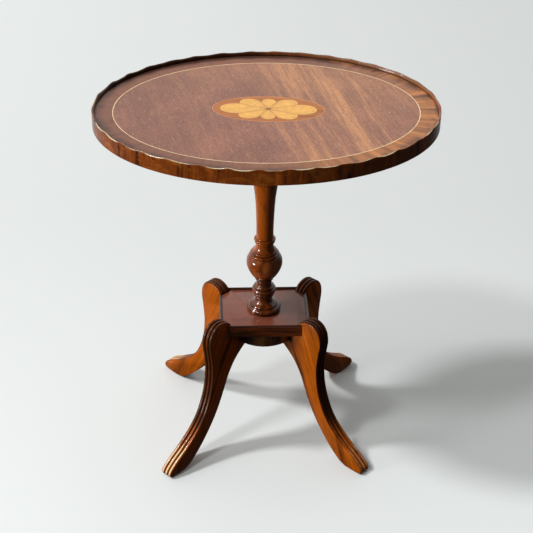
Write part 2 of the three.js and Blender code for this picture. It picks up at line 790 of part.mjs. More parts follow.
for (const corner of corners) {
  const { place, sx, sy } = corner;
  const board = slab(legShape(), -LEG_THICKNESS / 2, LEG_THICKNESS / 2, 3).rotateX(Math.PI / 2);
  add(
    `leg_${place}`,
    cut(
      toCorner(board, sx, sy),
      bossRoom(),
      dowelHole(UPPER_DOWEL, corner),
      dowelHole(LOWER_DOWEL, corner),
    ),
    LEG_WOOD,
  );
  add(`upper_dowel_${place}`, toCorner(dowel(UPPER_DOWEL), sx, sy), PEG_WOOD);
  add(`lower_dowel_${place}`, toCorner(dowel(LOWER_DOWEL), sx, sy), PEG_WOOD);
}

export default table;
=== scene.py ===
import json
import math

import bpy
import numpy as np
from mathutils import Matrix, Vector


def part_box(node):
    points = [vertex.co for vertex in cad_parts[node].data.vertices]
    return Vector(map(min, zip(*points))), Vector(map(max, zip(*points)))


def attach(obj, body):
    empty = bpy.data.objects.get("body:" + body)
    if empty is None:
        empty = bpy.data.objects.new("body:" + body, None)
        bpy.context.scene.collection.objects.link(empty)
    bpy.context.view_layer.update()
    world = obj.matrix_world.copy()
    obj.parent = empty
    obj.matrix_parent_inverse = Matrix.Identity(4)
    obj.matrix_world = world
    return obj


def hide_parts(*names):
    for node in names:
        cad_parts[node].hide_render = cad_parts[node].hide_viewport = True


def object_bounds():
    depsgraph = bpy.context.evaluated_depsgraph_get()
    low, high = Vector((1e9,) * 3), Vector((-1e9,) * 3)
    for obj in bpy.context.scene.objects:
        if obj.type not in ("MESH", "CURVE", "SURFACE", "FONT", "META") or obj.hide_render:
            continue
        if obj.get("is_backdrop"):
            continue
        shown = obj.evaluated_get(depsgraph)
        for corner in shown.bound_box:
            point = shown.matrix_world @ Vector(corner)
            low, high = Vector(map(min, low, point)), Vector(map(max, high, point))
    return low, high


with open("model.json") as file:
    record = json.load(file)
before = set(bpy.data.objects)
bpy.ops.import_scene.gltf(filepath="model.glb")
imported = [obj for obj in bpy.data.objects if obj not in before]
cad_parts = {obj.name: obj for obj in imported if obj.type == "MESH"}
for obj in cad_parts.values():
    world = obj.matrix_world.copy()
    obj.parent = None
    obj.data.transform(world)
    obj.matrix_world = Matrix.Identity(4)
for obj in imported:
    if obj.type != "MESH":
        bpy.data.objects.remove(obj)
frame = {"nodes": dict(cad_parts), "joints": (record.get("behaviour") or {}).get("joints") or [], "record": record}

bl_info = {
    "name": "Oval Tilt Top Table",
    "version": (1, 0, 0),
    "blender": (4, 5, 0),
    "location": "View3D > Sidebar > Tilt Table",
    "description": "Builds the polished surfaces of an inlaid oval tilt top table round its frame",
    "category": "Add Mesh",
}

CAD_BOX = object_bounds()
TAU = 2 * math.pi


# ---- places taken from the frame ----------------------------------------------------------------
def low(node):
    """The near, left, lower corner of a CAD node's box."""
    return np.array(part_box(node)[0])


def high(node):
    """The far, right, upper corner of a CAD node's box."""
    return np.array(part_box(node)[1])


RIM_X, RIM_Y, RIM_TOP = high("gallery_rim")
UNDERSIDE = low("top_board")[2]
SURFACE = high("field_veneer")[2]
BOARD_X, BOARD_Y = high("top_board")[:2]
STRING_X, STRING_Y = high("string_line")[:2]
PATERA_AT = (low("patera_line") + high("patera_line"))[:2] / 2
BLOCK_LOW, BLOCK_HIGH = low("top_block"), high("top_block")
PLATFORM_X, PLATFORM_Y, PLATFORM_TOP = high("platform")
PLATFORM_UNDERSIDE = low("platform")[2]
BEAD_TOP = high("edge_bead_front")[2]
BOSS_R = high("platform_boss")[0]
BOSS_UNDERSIDE = low("platform_boss")[2]
PIVOT = np.array(frame["joints"][0]["pos_m"])
SIDES = {"left": -1, "right": 1}
ENDS = {"front": -1, "back": 1}
CORNERS = {f"{end}_{side}": (sx, sy) for end, sy in ENDS.items() for side, sx in SIDES.items()}

# A leg's own frame: along the leg from the top of its knee, across it, and up.
KNEE_X = 0.0752
KNEE_Y = 0.0585
LEG_SPLAY = math.radians(47)
LEG_HALF = 0.010
LEG_INNER = -0.024
SLOT_HALF = LEG_HALF + 0.0001  # half width of the platform's slot for a leg


# ---- settings -----------------------------------------------------------------------------------
def length(name, description, default, least, most):
    return bpy.props.FloatProperty(
        name=name, description=description, default=default, min=least, max=most, precision=5,
        unit="LENGTH",
    )


def amount(name, description, default, **limits):
    return bpy.props.FloatProperty(
        name=name, description=description, default=default, min=0, **limits
    )


def colour(name, description, default):
    return bpy.props.FloatVectorProperty(
        name=name, description=description, default=default, min=0, max=1, size=3, subtype="COLOR"
    )


class TopSettings(bpy.types.PropertyGroup):
    waves: bpy.props.IntProperty(
        name="Gallery Waves", description="Waves in the pie-crust edge", default=34, min=8, max=80
    )
    wave_height: length("Wave Height", "Crest to trough of the gallery's edge", 0.0019, 0, 0.006)
    rim_thickness: length("Rim Thickness", "Thickness of the bent gallery", 0.0036, 0.001, 0.008)
    string_width: length("String Width", "Width of the pale string line", 0.0011, 0.0004, 0.004)
    line_width: length("Patera Line", "Width of the line round the patera", 0.0010, 0.0004, 0.004)
    petal_gap: length("Petal Gap", "Width of the line between petals", 0.0004, 0, 0.003)
    field: colour("Field", "Mid colour of the figured field", (0.285, 0.108, 0.070))
    field_light: colour("Field Ribbon", "Colour of the pale ribbon stripes", (0.56, 0.25, 0.100))
    band: colour("Crossband", "Mid colour of the faded cross-banding", (0.21, 0.095, 0.062))
    band_warm: colour("Crossband Right", "Colour of the brighter banding", (0.44, 0.165, 0.052))
    ground: colour("Patera Ground", "Colour of the patera's ground", (0.43, 0.145, 0.040))
    rim: colour("Rim", "Mid colour of the gallery's veneer", (0.205, 0.044, 0.004))
    inlay: colour("Inlay", "Colour of the flower's boxwood", (0.84, 0.43, 0.085))
    string: colour("String", "Colour of the string line", (0.95, 0.70, 0.38))
    outline: colour("Outline", "Colour of the line round the patera", (0.62, 0.28, 0.11))


class StandSettings(bpy.types.PropertyGroup):
    reeds: bpy.props.IntProperty(
        name="Reeds", description="Reeds along each leg's outer edge", default=3, min=1, max=7
    )
    reed_depth: length("Reed Depth", "Depth of the grooves between reeds", 0.0021, 0, 0.005)
    corner_round: length("Corner Round", "Softening of the wood's arrises", 0.0009, 0.0001, 0.003)
    turned: colour("Turned Wood", "Mid colour of the column's shaft", (0.52, 0.108, 0.006))
    rings: colour("Turned Rings", "Colour of the ball, rings and foot", (0.30, 0.060, 0.008))
    platform: colour("Platform", "Mid colour of the platform", (0.20, 0.053, 0.028))
    legs: colour("Leg Wood", "Mid colour of the legs", (0.37, 0.080, 0.0025))
    worn: colour("Worn Arris", "Colour where the polish has rubbed away", (0.64, 0.55, 0.34))


class FittingSettings(bpy.types.PropertyGroup):
    carcase: colour("Carcase", "Colour of the unpolished wood", (0.16, 0.085, 0.042))
    pegs: colour("Pegs", "Colour of dowels and wedges", (0.42, 0.27, 0.13))
    brass: colour("Brass", "Colour of the catch", (0.55, 0.37, 0.13))
    steel: colour("Steel", "Colour of pins, screws and spring", (0.30, 0.29, 0.27))


class StageSettings(bpy.types.PropertyGroup):
    # The floor's colours and its back brightness paint light falling off across it: brighter on the left, darker
    # to the right and far behind.
    floor_left: colour("Floor Left", "Colour of the floor on the left", (0.785, 0.815, 0.810))
    floor_right: colour("Floor Right", "Colour of the floor on the right", (0.610, 0.635, 0.630))
    floor_back: amount("Floor Back", "How bright the floor stays far behind", 0.85, max=1)
    key_strength: amount("Key Light", "Strength of the main light", 1.9)
    second_strength: amount("Second Light", "Strength of the second light", 0.85)
    low_strength: amount("Low Light", "Strength of the low light from the left", 2.3)
    room_strength: amount("Room Light", "Brightness of the room behind the table", 0.85)
    dim_strength: amount("Dim Side", "Brightness of the room's dim side", 0.035)
    lens: bpy.props.FloatProperty(
        name="Lens", description="Focal length of the camera", default=92.6, min=10, unit="CAMERA"
    )


class TableSettings(bpy.types.PropertyGroup):
    top: bpy.props.PointerProperty(type=TopSettings)
    stand: bpy.props.PointerProperty(type=StandSettings)
    fittings: bpy.props.PointerProperty(type=FittingSettings)
    stage: bpy.props.PointerProperty(type=StageSettings)


# ---- shader arithmetic --------------------------------------------------------------------------
class Value:
    """A number that changes over a surface. Arithmetic on it adds Math nodes to its recipe."""

    def __init__(self, recipe, socket):
        self.recipe = recipe
        self.socket = socket

    def _math(self, operation, *operands):
        sockets = dict(enumerate(operands))
        return self.recipe.node("ShaderNodeMath", {"operation": operation}, sockets)

    def __add__(self, other):
        return self._math("ADD", self, other)

    def __sub__(self, other):
        return self._math("SUBTRACT", self, other)

    def __rsub__(self, other):
        return self._math("SUBTRACT", other, self)

    def __mul__(self, other):
        return self._math("MULTIPLY", self, other)

    def __neg__(self):
        return self._math("MULTIPLY", self, -1.0)

    __radd__ = __add__
    __rmul__ = __mul__

    def most(self, other):
        return self._math("MAXIMUM", self, other)

    def between(self, start, end):
        """0 below start, 1 above end, and a smooth step in the middle."""
        return self.recipe.node(
            "ShaderNodeMapRange",
            {"interpolation_type": "SMOOTHSTEP"},
            {"Value": self, "From Min": start, "From Max": end},
        )


class Recipe:
    """One finish: a node tree ending in a Principled shader, constants set on its own sockets."""

    def __init__(self, name, **constants):
        self.material = bpy.data.materials.new(name)
        self.material.use_nodes = True
        self.tree = self.material.node_tree
        self.shader = self.tree.nodes["Principled BSDF"]
        for socket, value in constants.items():
            self.shader.inputs[socket.replace("_", " ")].default_value = value

    def node(self, kind, settings=None, inputs=None, output=0):
        """Adds a node, sets its settings, then its sockets, each from a number, colour or link."""
        made = self.tree.nodes.new(kind)
        for name, value in (settings or {}).items():
            if name == "stops":
                self._stops(made.color_ramp, value)
            else:
                setattr(made, name, value)
        for name, value in (inputs or {}).items():
            self._feed(made.inputs[name], value)
        return Value(self, made.outputs[output])

    def _feed(self, socket, value):
        if isinstance(value, Value):
            self.tree.links.new(value.socket, socket)
        elif hasattr(value, "__len__") and socket.type == "RGBA" and len(value) == 3:
            socket.default_value = (*value, 1.0)
        else:
            socket.default_value = value

    @staticmethod
    def _stops(ramp, stops):
        while len(ramp.elements) > 1:
            ramp.elements.remove(ramp.elements[-1])
        ramp.elements[0].position = stops[0][0]
        ramp.elements[0].color = (*stops[0][1], 1.0)
        for position, rgb in stops[1:]:
            ramp.elements.new(position).color = (*rgb, 1.0)

    def place(self):
        return self.node("ShaderNodeTexCoord", output="Object")

    def attribute(self, name, output="Vector"):
        return self.node("ShaderNodeAttribute", {"attribute_name": name}, output=output)

    def scaled(self, vector, scale):
        return self.node("ShaderNodeVectorMath", {"operation": "MULTIPLY"}, {0: vector, 1: scale})

    def sum(self, vector, other, weights):
        """The vector plus another, whose axes are first weighted."""
        return self.node("ShaderNodeVectorMath", {"operation": "MULTIPLY_ADD"},
                         {0: other, 1: weights, 2: vector})

    def axis(self, name, vector=None):
        """One axis of a vector, or of the place on the piece."""
        return self.node("ShaderNodeSeparateXYZ", None, {"Vector": vector or self.place()}, name)

    def noise(self, vector, scale, detail=2.0, roughness=0.5, distortion=0.0, output=0):
        """Cloudy noise. Given a scale for each axis, it is drawn out where the scale is least."""
        if isinstance(scale, tuple):
            vector, scale = self.scaled(vector, scale), 1.0
        sockets = {"Vector": vector, "Scale": scale, "Detail": detail, "Roughness": roughness,
                   "Distortion": distortion}
        return self.node("ShaderNodeTexNoise", None, sockets, output)

    def ramp(self, value, stops):
        return self.node("ShaderNodeValToRGB", {"stops": stops}, {"Fac": value})

    def mix(self, factor, first, second):
        settings = {"data_type": "RGBA", "clamp_factor": True}
        sockets = {"Factor": factor, 6: first, 7: second}
        return self.node("ShaderNodeMix", settings, sockets, output=2)

    def feed(self, **sockets):
        for socket, value in sockets.items():
            self._feed(self.shader.inputs[socket.replace("_", " ")], value)
        return self

    def bump(self, height, distance, strength=1.0):
        sockets = {"Height": height, "Distance": distance, "Strength": strength}
        return self.feed(Normal=self.node("ShaderNodeBump", None, sockets))


def tone(rgb, factor):
    """The same colour, lighter or darker."""
    return tuple(min(1.0, c * factor) for c in rgb)


# ---- finishes -----------------------------------------------------------------------------------
def wood(name, mid, light, dark, ribbon=(6.0, 45.0), share=0.75, pore=0.35, rough=0.24,
         worn=None, darkening=0.0, coat=0.25, gloss=0.2, mottle=0.3, recolour=None):
    """Polished wood on the piece's own grain attribute (along, across, through the board).

    Ribbons are noise drawn out along the grain; fibres and pores are finer noise drawn out more.
    Paler and darker places come from the piece's wear attribute, above and below zero: paler where worn, and on
    the gallery's front left and the left legs partly painted light; darker where grimy on the legs, and darker in
    hollows and at feet elsewhere.
    """
    r = Recipe(name, Coat_Roughness=0.06, Specular_IOR_Level=gloss, IOR=1.5)
    grain = r.attribute("grain")
    sway = r.noise(grain, 9.0, output="Color")
    swayed = r.sum(grain, sway, (0.0, 0.012, 0.012))
    along, across = ribbon
    figure = r.noise(swayed, (along, across, across), 3.0, 0.55, 0.4)
    cloud = r.noise(grain, (10.0, 14.0, 14.0), 3.0, 0.6)
    fibre = r.noise(swayed, (22.0, 620.0, 620.0), 3.0, 0.6)
    pores = r.noise(swayed, (95.0, 1700.0, 1700.0), 1.0, 0.5).between(0.60, 0.74)
    level = figure * share + cloud * (1.0 - share)
    base = r.ramp(level, [(0.35, dark), (0.47, mid), (0.56, mid), (0.68, light)])
    base = r.mix(fibre.between(0.35, 0.7) * 0.45, base, dark)
    base = r.mix(pores * pore, base, tone(dark, 0.45))
    blotch = r.noise(r.place(), 26.0, 4.0, 0.65)
    base = r.mix(blotch.between(0.45, 0.75) * mottle, base, tone(mid, 1.35))
    if recolour:
        base = recolour(r, base)
    roughness = rough + 0.10 * blotch + 0.07 * fibre
    if worn is not None:
        wear = r.attribute("wear", "Fac")
        patch = r.noise(r.place(), 95.0, 4.0, 0.7)
        # Above zero the wood is paler: wear, and on the gallery's front left and the left legs partly painted
        # light.
        rubbed = (wear * (0.2 + 1.6 * patch)).between(0.30, 0.75)
        # Below zero it is darkened: grimy on the legs, and elsewhere darker in hollows and at feet.
        darkened = (-wear * (0.6 + 0.8 * patch)).between(0.1, 0.8)
        base = r.mix(darkened * darkening, base, tone(dark, 0.25))
        base = r.mix(rubbed * 0.9, base, worn)
        roughness = roughness + rubbed * 0.15 + darkened * 0.12
    r.feed(Base_Color=base, Roughness=roughness, Coat_Weight=coat - 0.3 * blotch * coat)
    r.bump(fibre * 0.5 + pores * -0.6 + blotch * 0.6, 0.00005, 0.5)
    return r.material


def rightward(r, start, end):
    """0 left of the start and 1 right of the end, along X."""
    return r.axis("X").between(start, end)


def backward(r, start, end):
    """0 in front of the start and 1 behind the end, along Y."""
    return r.axis("Y").between(start, end)


def band_wood(top):
    """Cross-banding, its grain square to the edge: faded on the left and bright on the right, with painted shade
    of the gallery next to the rim, darkest round the back left and in patches all round.
    """
    band, warm = tuple(top.band), tuple(top.band_warm)

    def warmed(r, base):
        streak = r.noise(r.attribute("grain"), (3.0, 55.0, 55.0), 3.0, 0.6)
        patchy = r.noise(r.place(), 11.0, 2.0)
        bright = rightward(r, -0.10, 0.20) * 0.85 - backward(r, 0.0, 0.16) * 0.5
        bright = (bright + (patchy - 0.5) * 1.1).between(0.12, 0.9)
        out = r.axis("X", r.attribute("grain"))
        behind = (backward(r, -0.06, 0.10) * 0.9).most(0.45) * (1.0 - rightward(r, -0.02, 0.16))
        base = r.mix(behind * 0.5, base, (0.24, 0.062, 0.020))
        # Painted shadow of the gallery's inner wall: next to the rim the band is painted dark on the left, darkest
        # round the back left.
        base = r.mix(out.between(0.35 * BANDING, 0.95 * BANDING) * behind, base, tone(band, 0.12))
        glow = [(0.34, tone(warm, 0.35)), (0.5, tone(warm, 0.8)), (0.68, tone(warm, 1.25))]
        base = r.mix(bright, base, r.ramp(streak, glow))
        # Painted shade: patches of the band next to the rim, all round, are painted darker as the gallery's shade.
        shade_near_rim = r.noise(r.place(), 34.0, 3.0, 0.6).between(0.44, 0.60)
        shade_near_rim = shade_near_rim * out.between(0.25 * BANDING, 0.85 * BANDING)
        return r.mix(shade_near_rim * 0.75, base, tone(band, 0.32))

    return wood("crossband_mahogany", band, tone(band, 1.5), tone(band, 0.55), (9.0, 70.0), 0.7,
                0.3, 0.26, mottle=0.3, recolour=warmed)


def rim_wood(top, stand):
    """The gallery's veneer: flamed with gold, the flame painted strongest on the lit left as painted light, and
    painted nearly black round the back left as painted shade.
    """
    rim = tuple(top.rim)

    def flamed(r, base):
        flame = r.noise(r.attribute("grain"), (60.0, 26.0, 10.0), 4.0, 0.65)
        # The gold is the veneer's flame figure, painted strongest on the left, which faces the lamps, and weaker
        # to the right: partly painted light.
        gold = flame.between(0.50, 0.66) * (1.0 - 0.7 * rightward(r, -0.10, 0.16))
        base = r.mix(gold * 0.5, base, (0.44, 0.140, 0.016))
        # Painted shade: round the back left the rim is painted nearly black, where its inner wall faces away from
        # the lamps.
        dark = backward(r, -0.03, 0.08) * (1.0 - rightward(r, -0.06, 0.10))
        base = r.mix(dark * 0.9, base, tone(rim, 0.07))
        faded = backward(r, -0.02, 0.06) * rightward(r, -0.02, 0.12)
        return r.mix(faded * 0.8, base, (0.165, 0.070, 0.028))

    return wood("rim_mahogany", rim, tone(rim, 1.9), tone(rim, 0.14), (14.0, 95.0), 0.85, 0.45, 0.2,
                worn=tuple(stand.worn), darkening=0.85, coat=0.6, recolour=flamed)


def turned_wood(stand):
    """The column's wood: a warm shaft, with darker and redder rings, ball and foot."""
    shaft, rings = tuple(stand.turned), tuple(stand.rings)

    def reddened(r, base):
        place = r.place()
        level = r.axis("Z")
        flame = r.noise(place, (60.0, 60.0, 22.0), 4.0, 0.65)
        stops = [(0.36, tone(rings, 0.25)), (0.5, rings), (0.62, (0.48, 0.125, 0.022))]
        tint = r.ramp(flame, stops)
        foot = r.ramp(flame, [(0.36, tone(rings, 0.12)), (0.64, tone(rings, 0.55))])
        tint = r.mix(level.between(0.278, 0.290), foot, tint)
        tint = r.mix(level.between(PLATFORM_UNDERSIDE + 0.002, PLATFORM_UNDERSIDE), tint,
                     r.ramp(flame, [(0.36, (0.030, 0.010, 0.003)), (0.64, (0.12, 0.045, 0.008))]))
        stain = r.noise(place, (70.0, 70.0, 26.0), 5.0, 0.7)
        shaft_wood = r.mix(stain.between(0.5, 0.66) * 0.6, base, tone(rings, 0.35))
        return r.mix(level.between(0.318, 0.350), tint, shaft_wood)

    return wood("turned_mahogany", shaft, tone(shaft, 1.5), tone(shaft, 0.35), (8.0, 60.0), 0.7,
                0.35, 0.12, worn=tone(stand.worn, 0.6), darkening=0.85, coat=1.0, recolour=reddened)


def platform_wood(stand):
    """The platform's wood: reddish on top, and as dark and warm as the legs down its edges."""
    mid = tuple(stand.platform)

    def edged(r, base):
        level = r.axis("Z")
        above = level.between(PLATFORM_TOP - 0.0012, PLATFORM_TOP - 0.0002)
        streak = r.noise(r.place(), (14.0, 14.0, 160.0), 3.0, 0.6)
        edge = r.ramp(streak, [(0.35, (0.045, 0.009, 0.002)), (0.65, (0.20, 0.042, 0.004))])
        lip = level.between(PLATFORM_TOP + 0.0002, PLATFORM_TOP + 0.0008)
        return r.mix(lip * 0.85, r.mix(above, edge, base), (0.035, 0.012, 0.006))

    return wood("platform_mahogany", mid, tone(mid, 1.6), tone(mid, 0.6), (6.0, 50.0), 0.6, 0.3,
                0.13, worn=tone(stand.worn, 0.6), darkening=0.8, coat=0.5, gloss=0.32, recolour=edged)


def field_wood(top):
    """The field: ribbon-figured mahogany, its stripes running front to back and a little askew,
    paler and stronger on the right, under an old polish with fine scratches."""
    r = Recipe("field_mahogany", Coat_Roughness=0.12, IOR=1.5, Specular_IOR_Level=0.42)
    field, light = tuple(top.field), tuple(top.field_light)
    askew = r.node(
        "ShaderNodeMapping", None, {"Vector": r.place(), "Rotation": (0, 0, math.radians(-13))}
    )
    swayed = r.sum(askew, r.noise(r.place(), 5.0, output="Color"), (0.022, 0.0, 0.0))
    ribbon = r.noise(swayed, (27.0, 2.0, 1.0), 2.0, 0.5, 0.2)
    narrow = r.noise(swayed, (80.0, 5.0, 1.0), 3.0, 0.6)
    streak = r.noise(swayed, (330.0, 15.0, 1.0), 3.0, 0.65)
    fleck = r.noise(swayed, (640.0, 210.0, 1.0), 2.0, 0.6)
    rightness = rightward(r, -0.08, 0.10)
    warmth = rightness * 0.6 + backward(r, -0.05, 0.14) * 0.6
    cloud = r.noise(r.place(), 9.0, 4.0, 0.6)
    stripes = (ribbon * 0.6 + narrow * 0.4).between(0.49, 0.62)
    base = r.mix(cloud.between(0.35, 0.7) * 0.6, tone(field, 0.72), tone(field, 1.22))
    base = r.mix((warmth * cloud * 1.5).between(0.1, 0.9) * 0.55, base, tone(light, 0.78))
    base = r.mix(stripes * (0.08 + 0.66 * rightness), base, tone(light, 1.05))
    base = r.mix(streak.between(0.42, 0.68) * 0.48, base, tone(field, 0.55))
    base = r.mix(fleck.between(0.53, 0.68) * 0.5, base, tone(field, 0.4))
    base = r.mix(fleck.between(0.43, 0.28) * 0.32, base, tone(light, 1.2))
    haze = r.noise(r.place(), 38.0, 5.0, 0.7)
    base = r.mix(haze.between(0.5, 0.8) * 0.25, base, tone(light, 1.0))
    scratch = r.noise(askew, (900.0, 60.0, 1.0), 0.0).between(0.80, 0.83)
    chips = r.node("ShaderNodeTexVoronoi", None, {"Vector": r.place(), "Scale": 15.0})
    speck = 1.0 - chips.between(0.012, 0.03)
    base = r.mix(speck * 0.6 + scratch * 0.3, base, (0.75, 0.62, 0.45))
    r.feed(
        Base_Color=base,
        Roughness=0.30 + 0.14 * haze + 0.05 * streak + 0.2 * scratch,
        Coat_Weight=0.10 + 0.2 * haze,
    )
    r.bump(streak * 0.5 + haze * 0.8 - scratch, 0.00005, 0.5)
    return r.material


def inlay_wood(name, mid):
    """Boxwood let in flush: fine pale grain, scorched brown where its wear is below zero."""
    r = Recipe(name, Coat_Roughness=0.1, IOR=1.5, Specular_IOR_Level=0.4)
    grain = r.attribute("grain")
    fibre = r.noise(grain, (60.0, 1100.0, 1100.0), 3.0, 0.6)
    cloud = r.noise(r.place(), 120.0, 3.0, 0.6)
    shade = r.attribute("wear", "Fac")
    scorch = (-shade * (0.75 + 0.5 * cloud)).between(0.25, 1.0)
    base = r.mix(cloud.between(0.3, 0.7), tone(mid, 0.82), tone(mid, 1.04))
    base = r.mix(fibre.between(0.4, 0.7) * 0.5, base, tone(mid, 0.55))
    base = r.mix(scorch * 0.9, base, (0.20, 0.080, 0.014))
    r.feed(Base_Color=base, Roughness=0.30 + 0.12 * cloud, Coat_Weight=0.15 + 0.1 * fibre)
    r.bump(fibre, 0.00003, 0.4)
    return r.material


def metal(name, base, rough, patina):
    """Old metal: brushed tone, darker patina in soft blotches."""
    r = Recipe(name, Metallic=1.0)
    blotch = r.noise(r.place(), 170.0, 4.0, 0.65)
    fine = r.noise(r.place(), (900.0, 240.0, 900.0), 2.0)
    shade = r.mix(blotch.between(0.42, 0.7) * 0.7, base, patina)
    r.feed(Base_Color=shade, Roughness=rough + 0.25 * blotch + 0.08 * fine)
    r.bump(fine + blotch, 0.0001, 0.5)
    return r.material


def plain_wood(name, mid, scale):
    """Unpolished wood on Object coordinates, its grain along the direction of least scale."""
    r = Recipe(name, IOR=1.45)
    figure = r.noise(r.place(), scale, 4.0, 0.6, 0.5)
    fibre = r.noise(r.place(), tuple(14 * s for s in scale), 3.0, 0.6)
    stain = r.noise(r.place(), 14.0, 4.0, 0.6)
    base = r.ramp(figure, [(0.3, tone(mid, 0.6)), (0.55, mid), (0.75, tone(mid, 1.5))])
    base = r.mix(fibre.between(0.4, 0.7) * 0.5, base, tone(mid, 0.5))
    base = r.mix(stain.between(0.45, 0.75) * 0.5, base, tone(mid, 0.55))
    r.feed(Base_Color=base, Roughness=0.62 + 0.2 * fibre)
    r.bump(fibre + figure * 0.5, 0.0003, 0.6)
    return r.material


def floor_finish(stage):
    """A pale matt studio floor, painted a little brighter on the left and in front, as light that falls off to the
    right and to the back.
    """
    r = Recipe("studio_floor", Specular_IOR_Level=0.1, Roughness=0.95)
    soft = r.noise(r.place(), 1.3, 2.0)
    # Painted light: the floor is painted darker to the right.
    shade = rightward(r, -1.1, 1.3) + (soft - 0.5) * 0.04
    base = r.mix(shade, tuple(stage.floor_left), tuple(stage.floor_right))
    # Painted light: the floor is painted darker towards the back.
    distance = backward(r, -0.55, 0.75)
    r.feed(Base_Color=r.mix(distance * (1.0 - stage.floor_back), base, (0.0, 0.0, 0.0)))
    return r.material


FINISHES = {}


def finish(name):
    """The named finish, made from the scene's settings when a piece first asks for it."""
    if name in FINISHES:
        return FINISHES[name]
    settings = bpy.context.scene.tilt_table
    top, stand, parts = settings.top, settings.stand, settings.fittings
    legs, ground = tuple(stand.legs), tuple(top.ground)
    makers = {
        "field": lambda: field_wood(top),
        "band": lambda: band_wood(top),
        "ground": lambda: wood("patera_ground_wood", ground, tone(ground, 1.5), tone(ground, 0.6),
                               (8.0, 90.0), 0.7, 0.3, 0.28, coat=0.15),
        "rim": lambda: rim_wood(top, stand),
        "inlay": lambda: inlay_wood("boxwood_inlay", tuple(top.inlay)),
        "string": lambda: inlay_wood("boxwood_string", tuple(top.string)),
        "outline": lambda: inlay_wood("boxwood_outline", tuple(top.outline)),
        "turned": lambda: turned_wood(stand),
        "platform": lambda: platform_wood(stand),
        "legs": lambda: wood("leg_mahogany", legs, tone(legs, 1.5), tone(legs, 0.22), (5.0, 70.0),
                             0.75, 0.5, 0.26, worn=tuple(stand.worn), darkening=0.95, coat=0.15,
                             gloss=0.1),
        "carcase": lambda: plain_wood("carcase_wood", tuple(parts.carcase), (9.0, 60.0, 60.0)),
        "rail": lambda: plain_wood("bearer_wood", tone(parts.carcase, 0.8), (60.0, 9.0, 60.0)),
        "pegs": lambda: plain_wood("peg_wood", tuple(parts.pegs), (60.0, 60.0, 12.0)),
        "brass": lambda: metal("old_brass", tuple(parts.brass), 0.22, (0.20, 0.11, 0.035)),
        "steel": lambda: metal("dull_steel", tuple(parts.steel), 0.30, (0.09, 0.075, 0.06)),
    }
    FINISHES[name] = makers[name]()
    return FINISHES[name]


# ---- surfaces -----------------------------------------------------------------------------------
def grid_faces(rows, columns, closed):
    """Each quad's corners, as indices into the grid and into the same grid with its seams open."""
    wrap_u, wrap_v = closed
    i, j = np.meshgrid(
        np.arange(rows - (not wrap_u)), np.arange(columns - (not wrap_v)), indexing="ij"
    )
    i, j = i.ravel(), j.ravel()
    corners = [(i, j), (i + 1, j), (i + 1, j + 1), (i, j + 1)]
    welded = np.stack([(a % rows) * columns + b % columns for a, b in corners], 1)
    wide = columns + bool(wrap_v)
    seamed = np.stack([a * wide + b for a, b in corners], 1)
    return welded, seamed


class Shell:
    """Collects grids and caps of one piece, then makes its mesh."""

    def __init__(self):
        self.points, self.faces, self.values, self.count = [], [], {}, 0

    def grid(self, points, closed=(False, False), flip=False, **values):
        """A surface on a grid of points. Values are per grid point, one row or column longer where
        the grid closes, so that a pattern can end at the seam and start again."""
        rows, columns = points.shape[:2]
        welded, seamed = grid_faces(rows, columns, closed)
        if flip:
            welded, seamed = welded[:, ::-1], seamed[:, ::-1]
        self.points.append(points.reshape(-1, 3))
        self.faces += (welded + self.count).tolist()
        for name, value in values.items():
            flat = value.reshape(-1, value.shape[-1]) if value.ndim == 3 else value.reshape(-1)
            self.values.setdefault(name, []).append(flat[seamed.ravel()])
        self.count += rows * columns
        return self

    def cap(self, ring, flip, **values):
        """Closes a ring of points that are already in the shell with one flat face."""
        order = np.arange(len(ring))[::-1] if flip else np.arange(len(ring))
        self.faces.append(ring[order].tolist())
        for name, value in values.items():
            self.values.setdefault(name, []).append(value[order])
        return self

    def tube(self, points, flip=False, **values):
        """A grid closed round its second direction, with a flat face on each end."""
        seamed = {key: open_seam(value) for key, value in values.items()}
        self.grid(points, (False, True), flip, **seamed)
        rows, count = points.shape[:2]
        for end, turned in ((0, flip), (rows - 1, not flip)):
            ring = np.arange(count) + end * count
            self.cap(ring, turned, **{key: value[end] for key, value in values.items()})
        return self

    def object(self, name, material, sharp=35.0):
        """The finished piece, smooth but for edges sharper than the given angle."""
        mesh = bpy.data.meshes.new(name)
        mesh.from_pydata(np.concatenate(self.points), [], self.faces)
        for key, parts in self.values.items():
            value = np.concatenate(parts).astype(np.float32)
            kind = "FLOAT_VECTOR" if value.ndim == 2 else "FLOAT"
            layer = mesh.attributes.new(key, kind, "CORNER")
            layer.data.foreach_set("vector" if value.ndim == 2 else "value", value.ravel())
        mesh.validate()
        mesh.shade_smooth()
        mesh.set_sharp_from_angle(angle=math.radians(sharp))
        mesh.materials.append(material)
        made = bpy.data.objects.new(name, mesh)
        bpy.context.scene.collection.objects.link(made)
        return made


def fit(shell, name, look, body, node, sharp=35.0):
    """Makes a shell's piece with a finish, rides it on its body and hides the CAD
    node that it stands for. Edges sharper than the given angle stay sharp."""
    piece = shell.object(name, finish(look), sharp)
    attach(piece, body)
    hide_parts(node)


def open_seam(points):
    """The grid with its first column again at the end, for values that run on round the seam."""
    return np.concatenate([points, points[:, :1]], 1)


def revolve(profile, segments, wear):
    """A turned piece: (radius, height) carried round the Z axis. Its grain runs along the axis.

    Each end of the profile lies on the axis, where all its points are one.
    """
    body = profile[1:-1]
    angle = np.arange(segments) * TAU / segments
    radius, height = body[:, :1], body[:, 1:] + 0 * angle
    across, through = radius * np.cos(angle), radius * np.sin(angle)
    points = np.stack([across, through, height], -1)
    grain = np.stack([height, across, through], -1)
    return Shell().tube(points, True, grain=grain, wear=wear[1:-1, None] + 0 * angle)


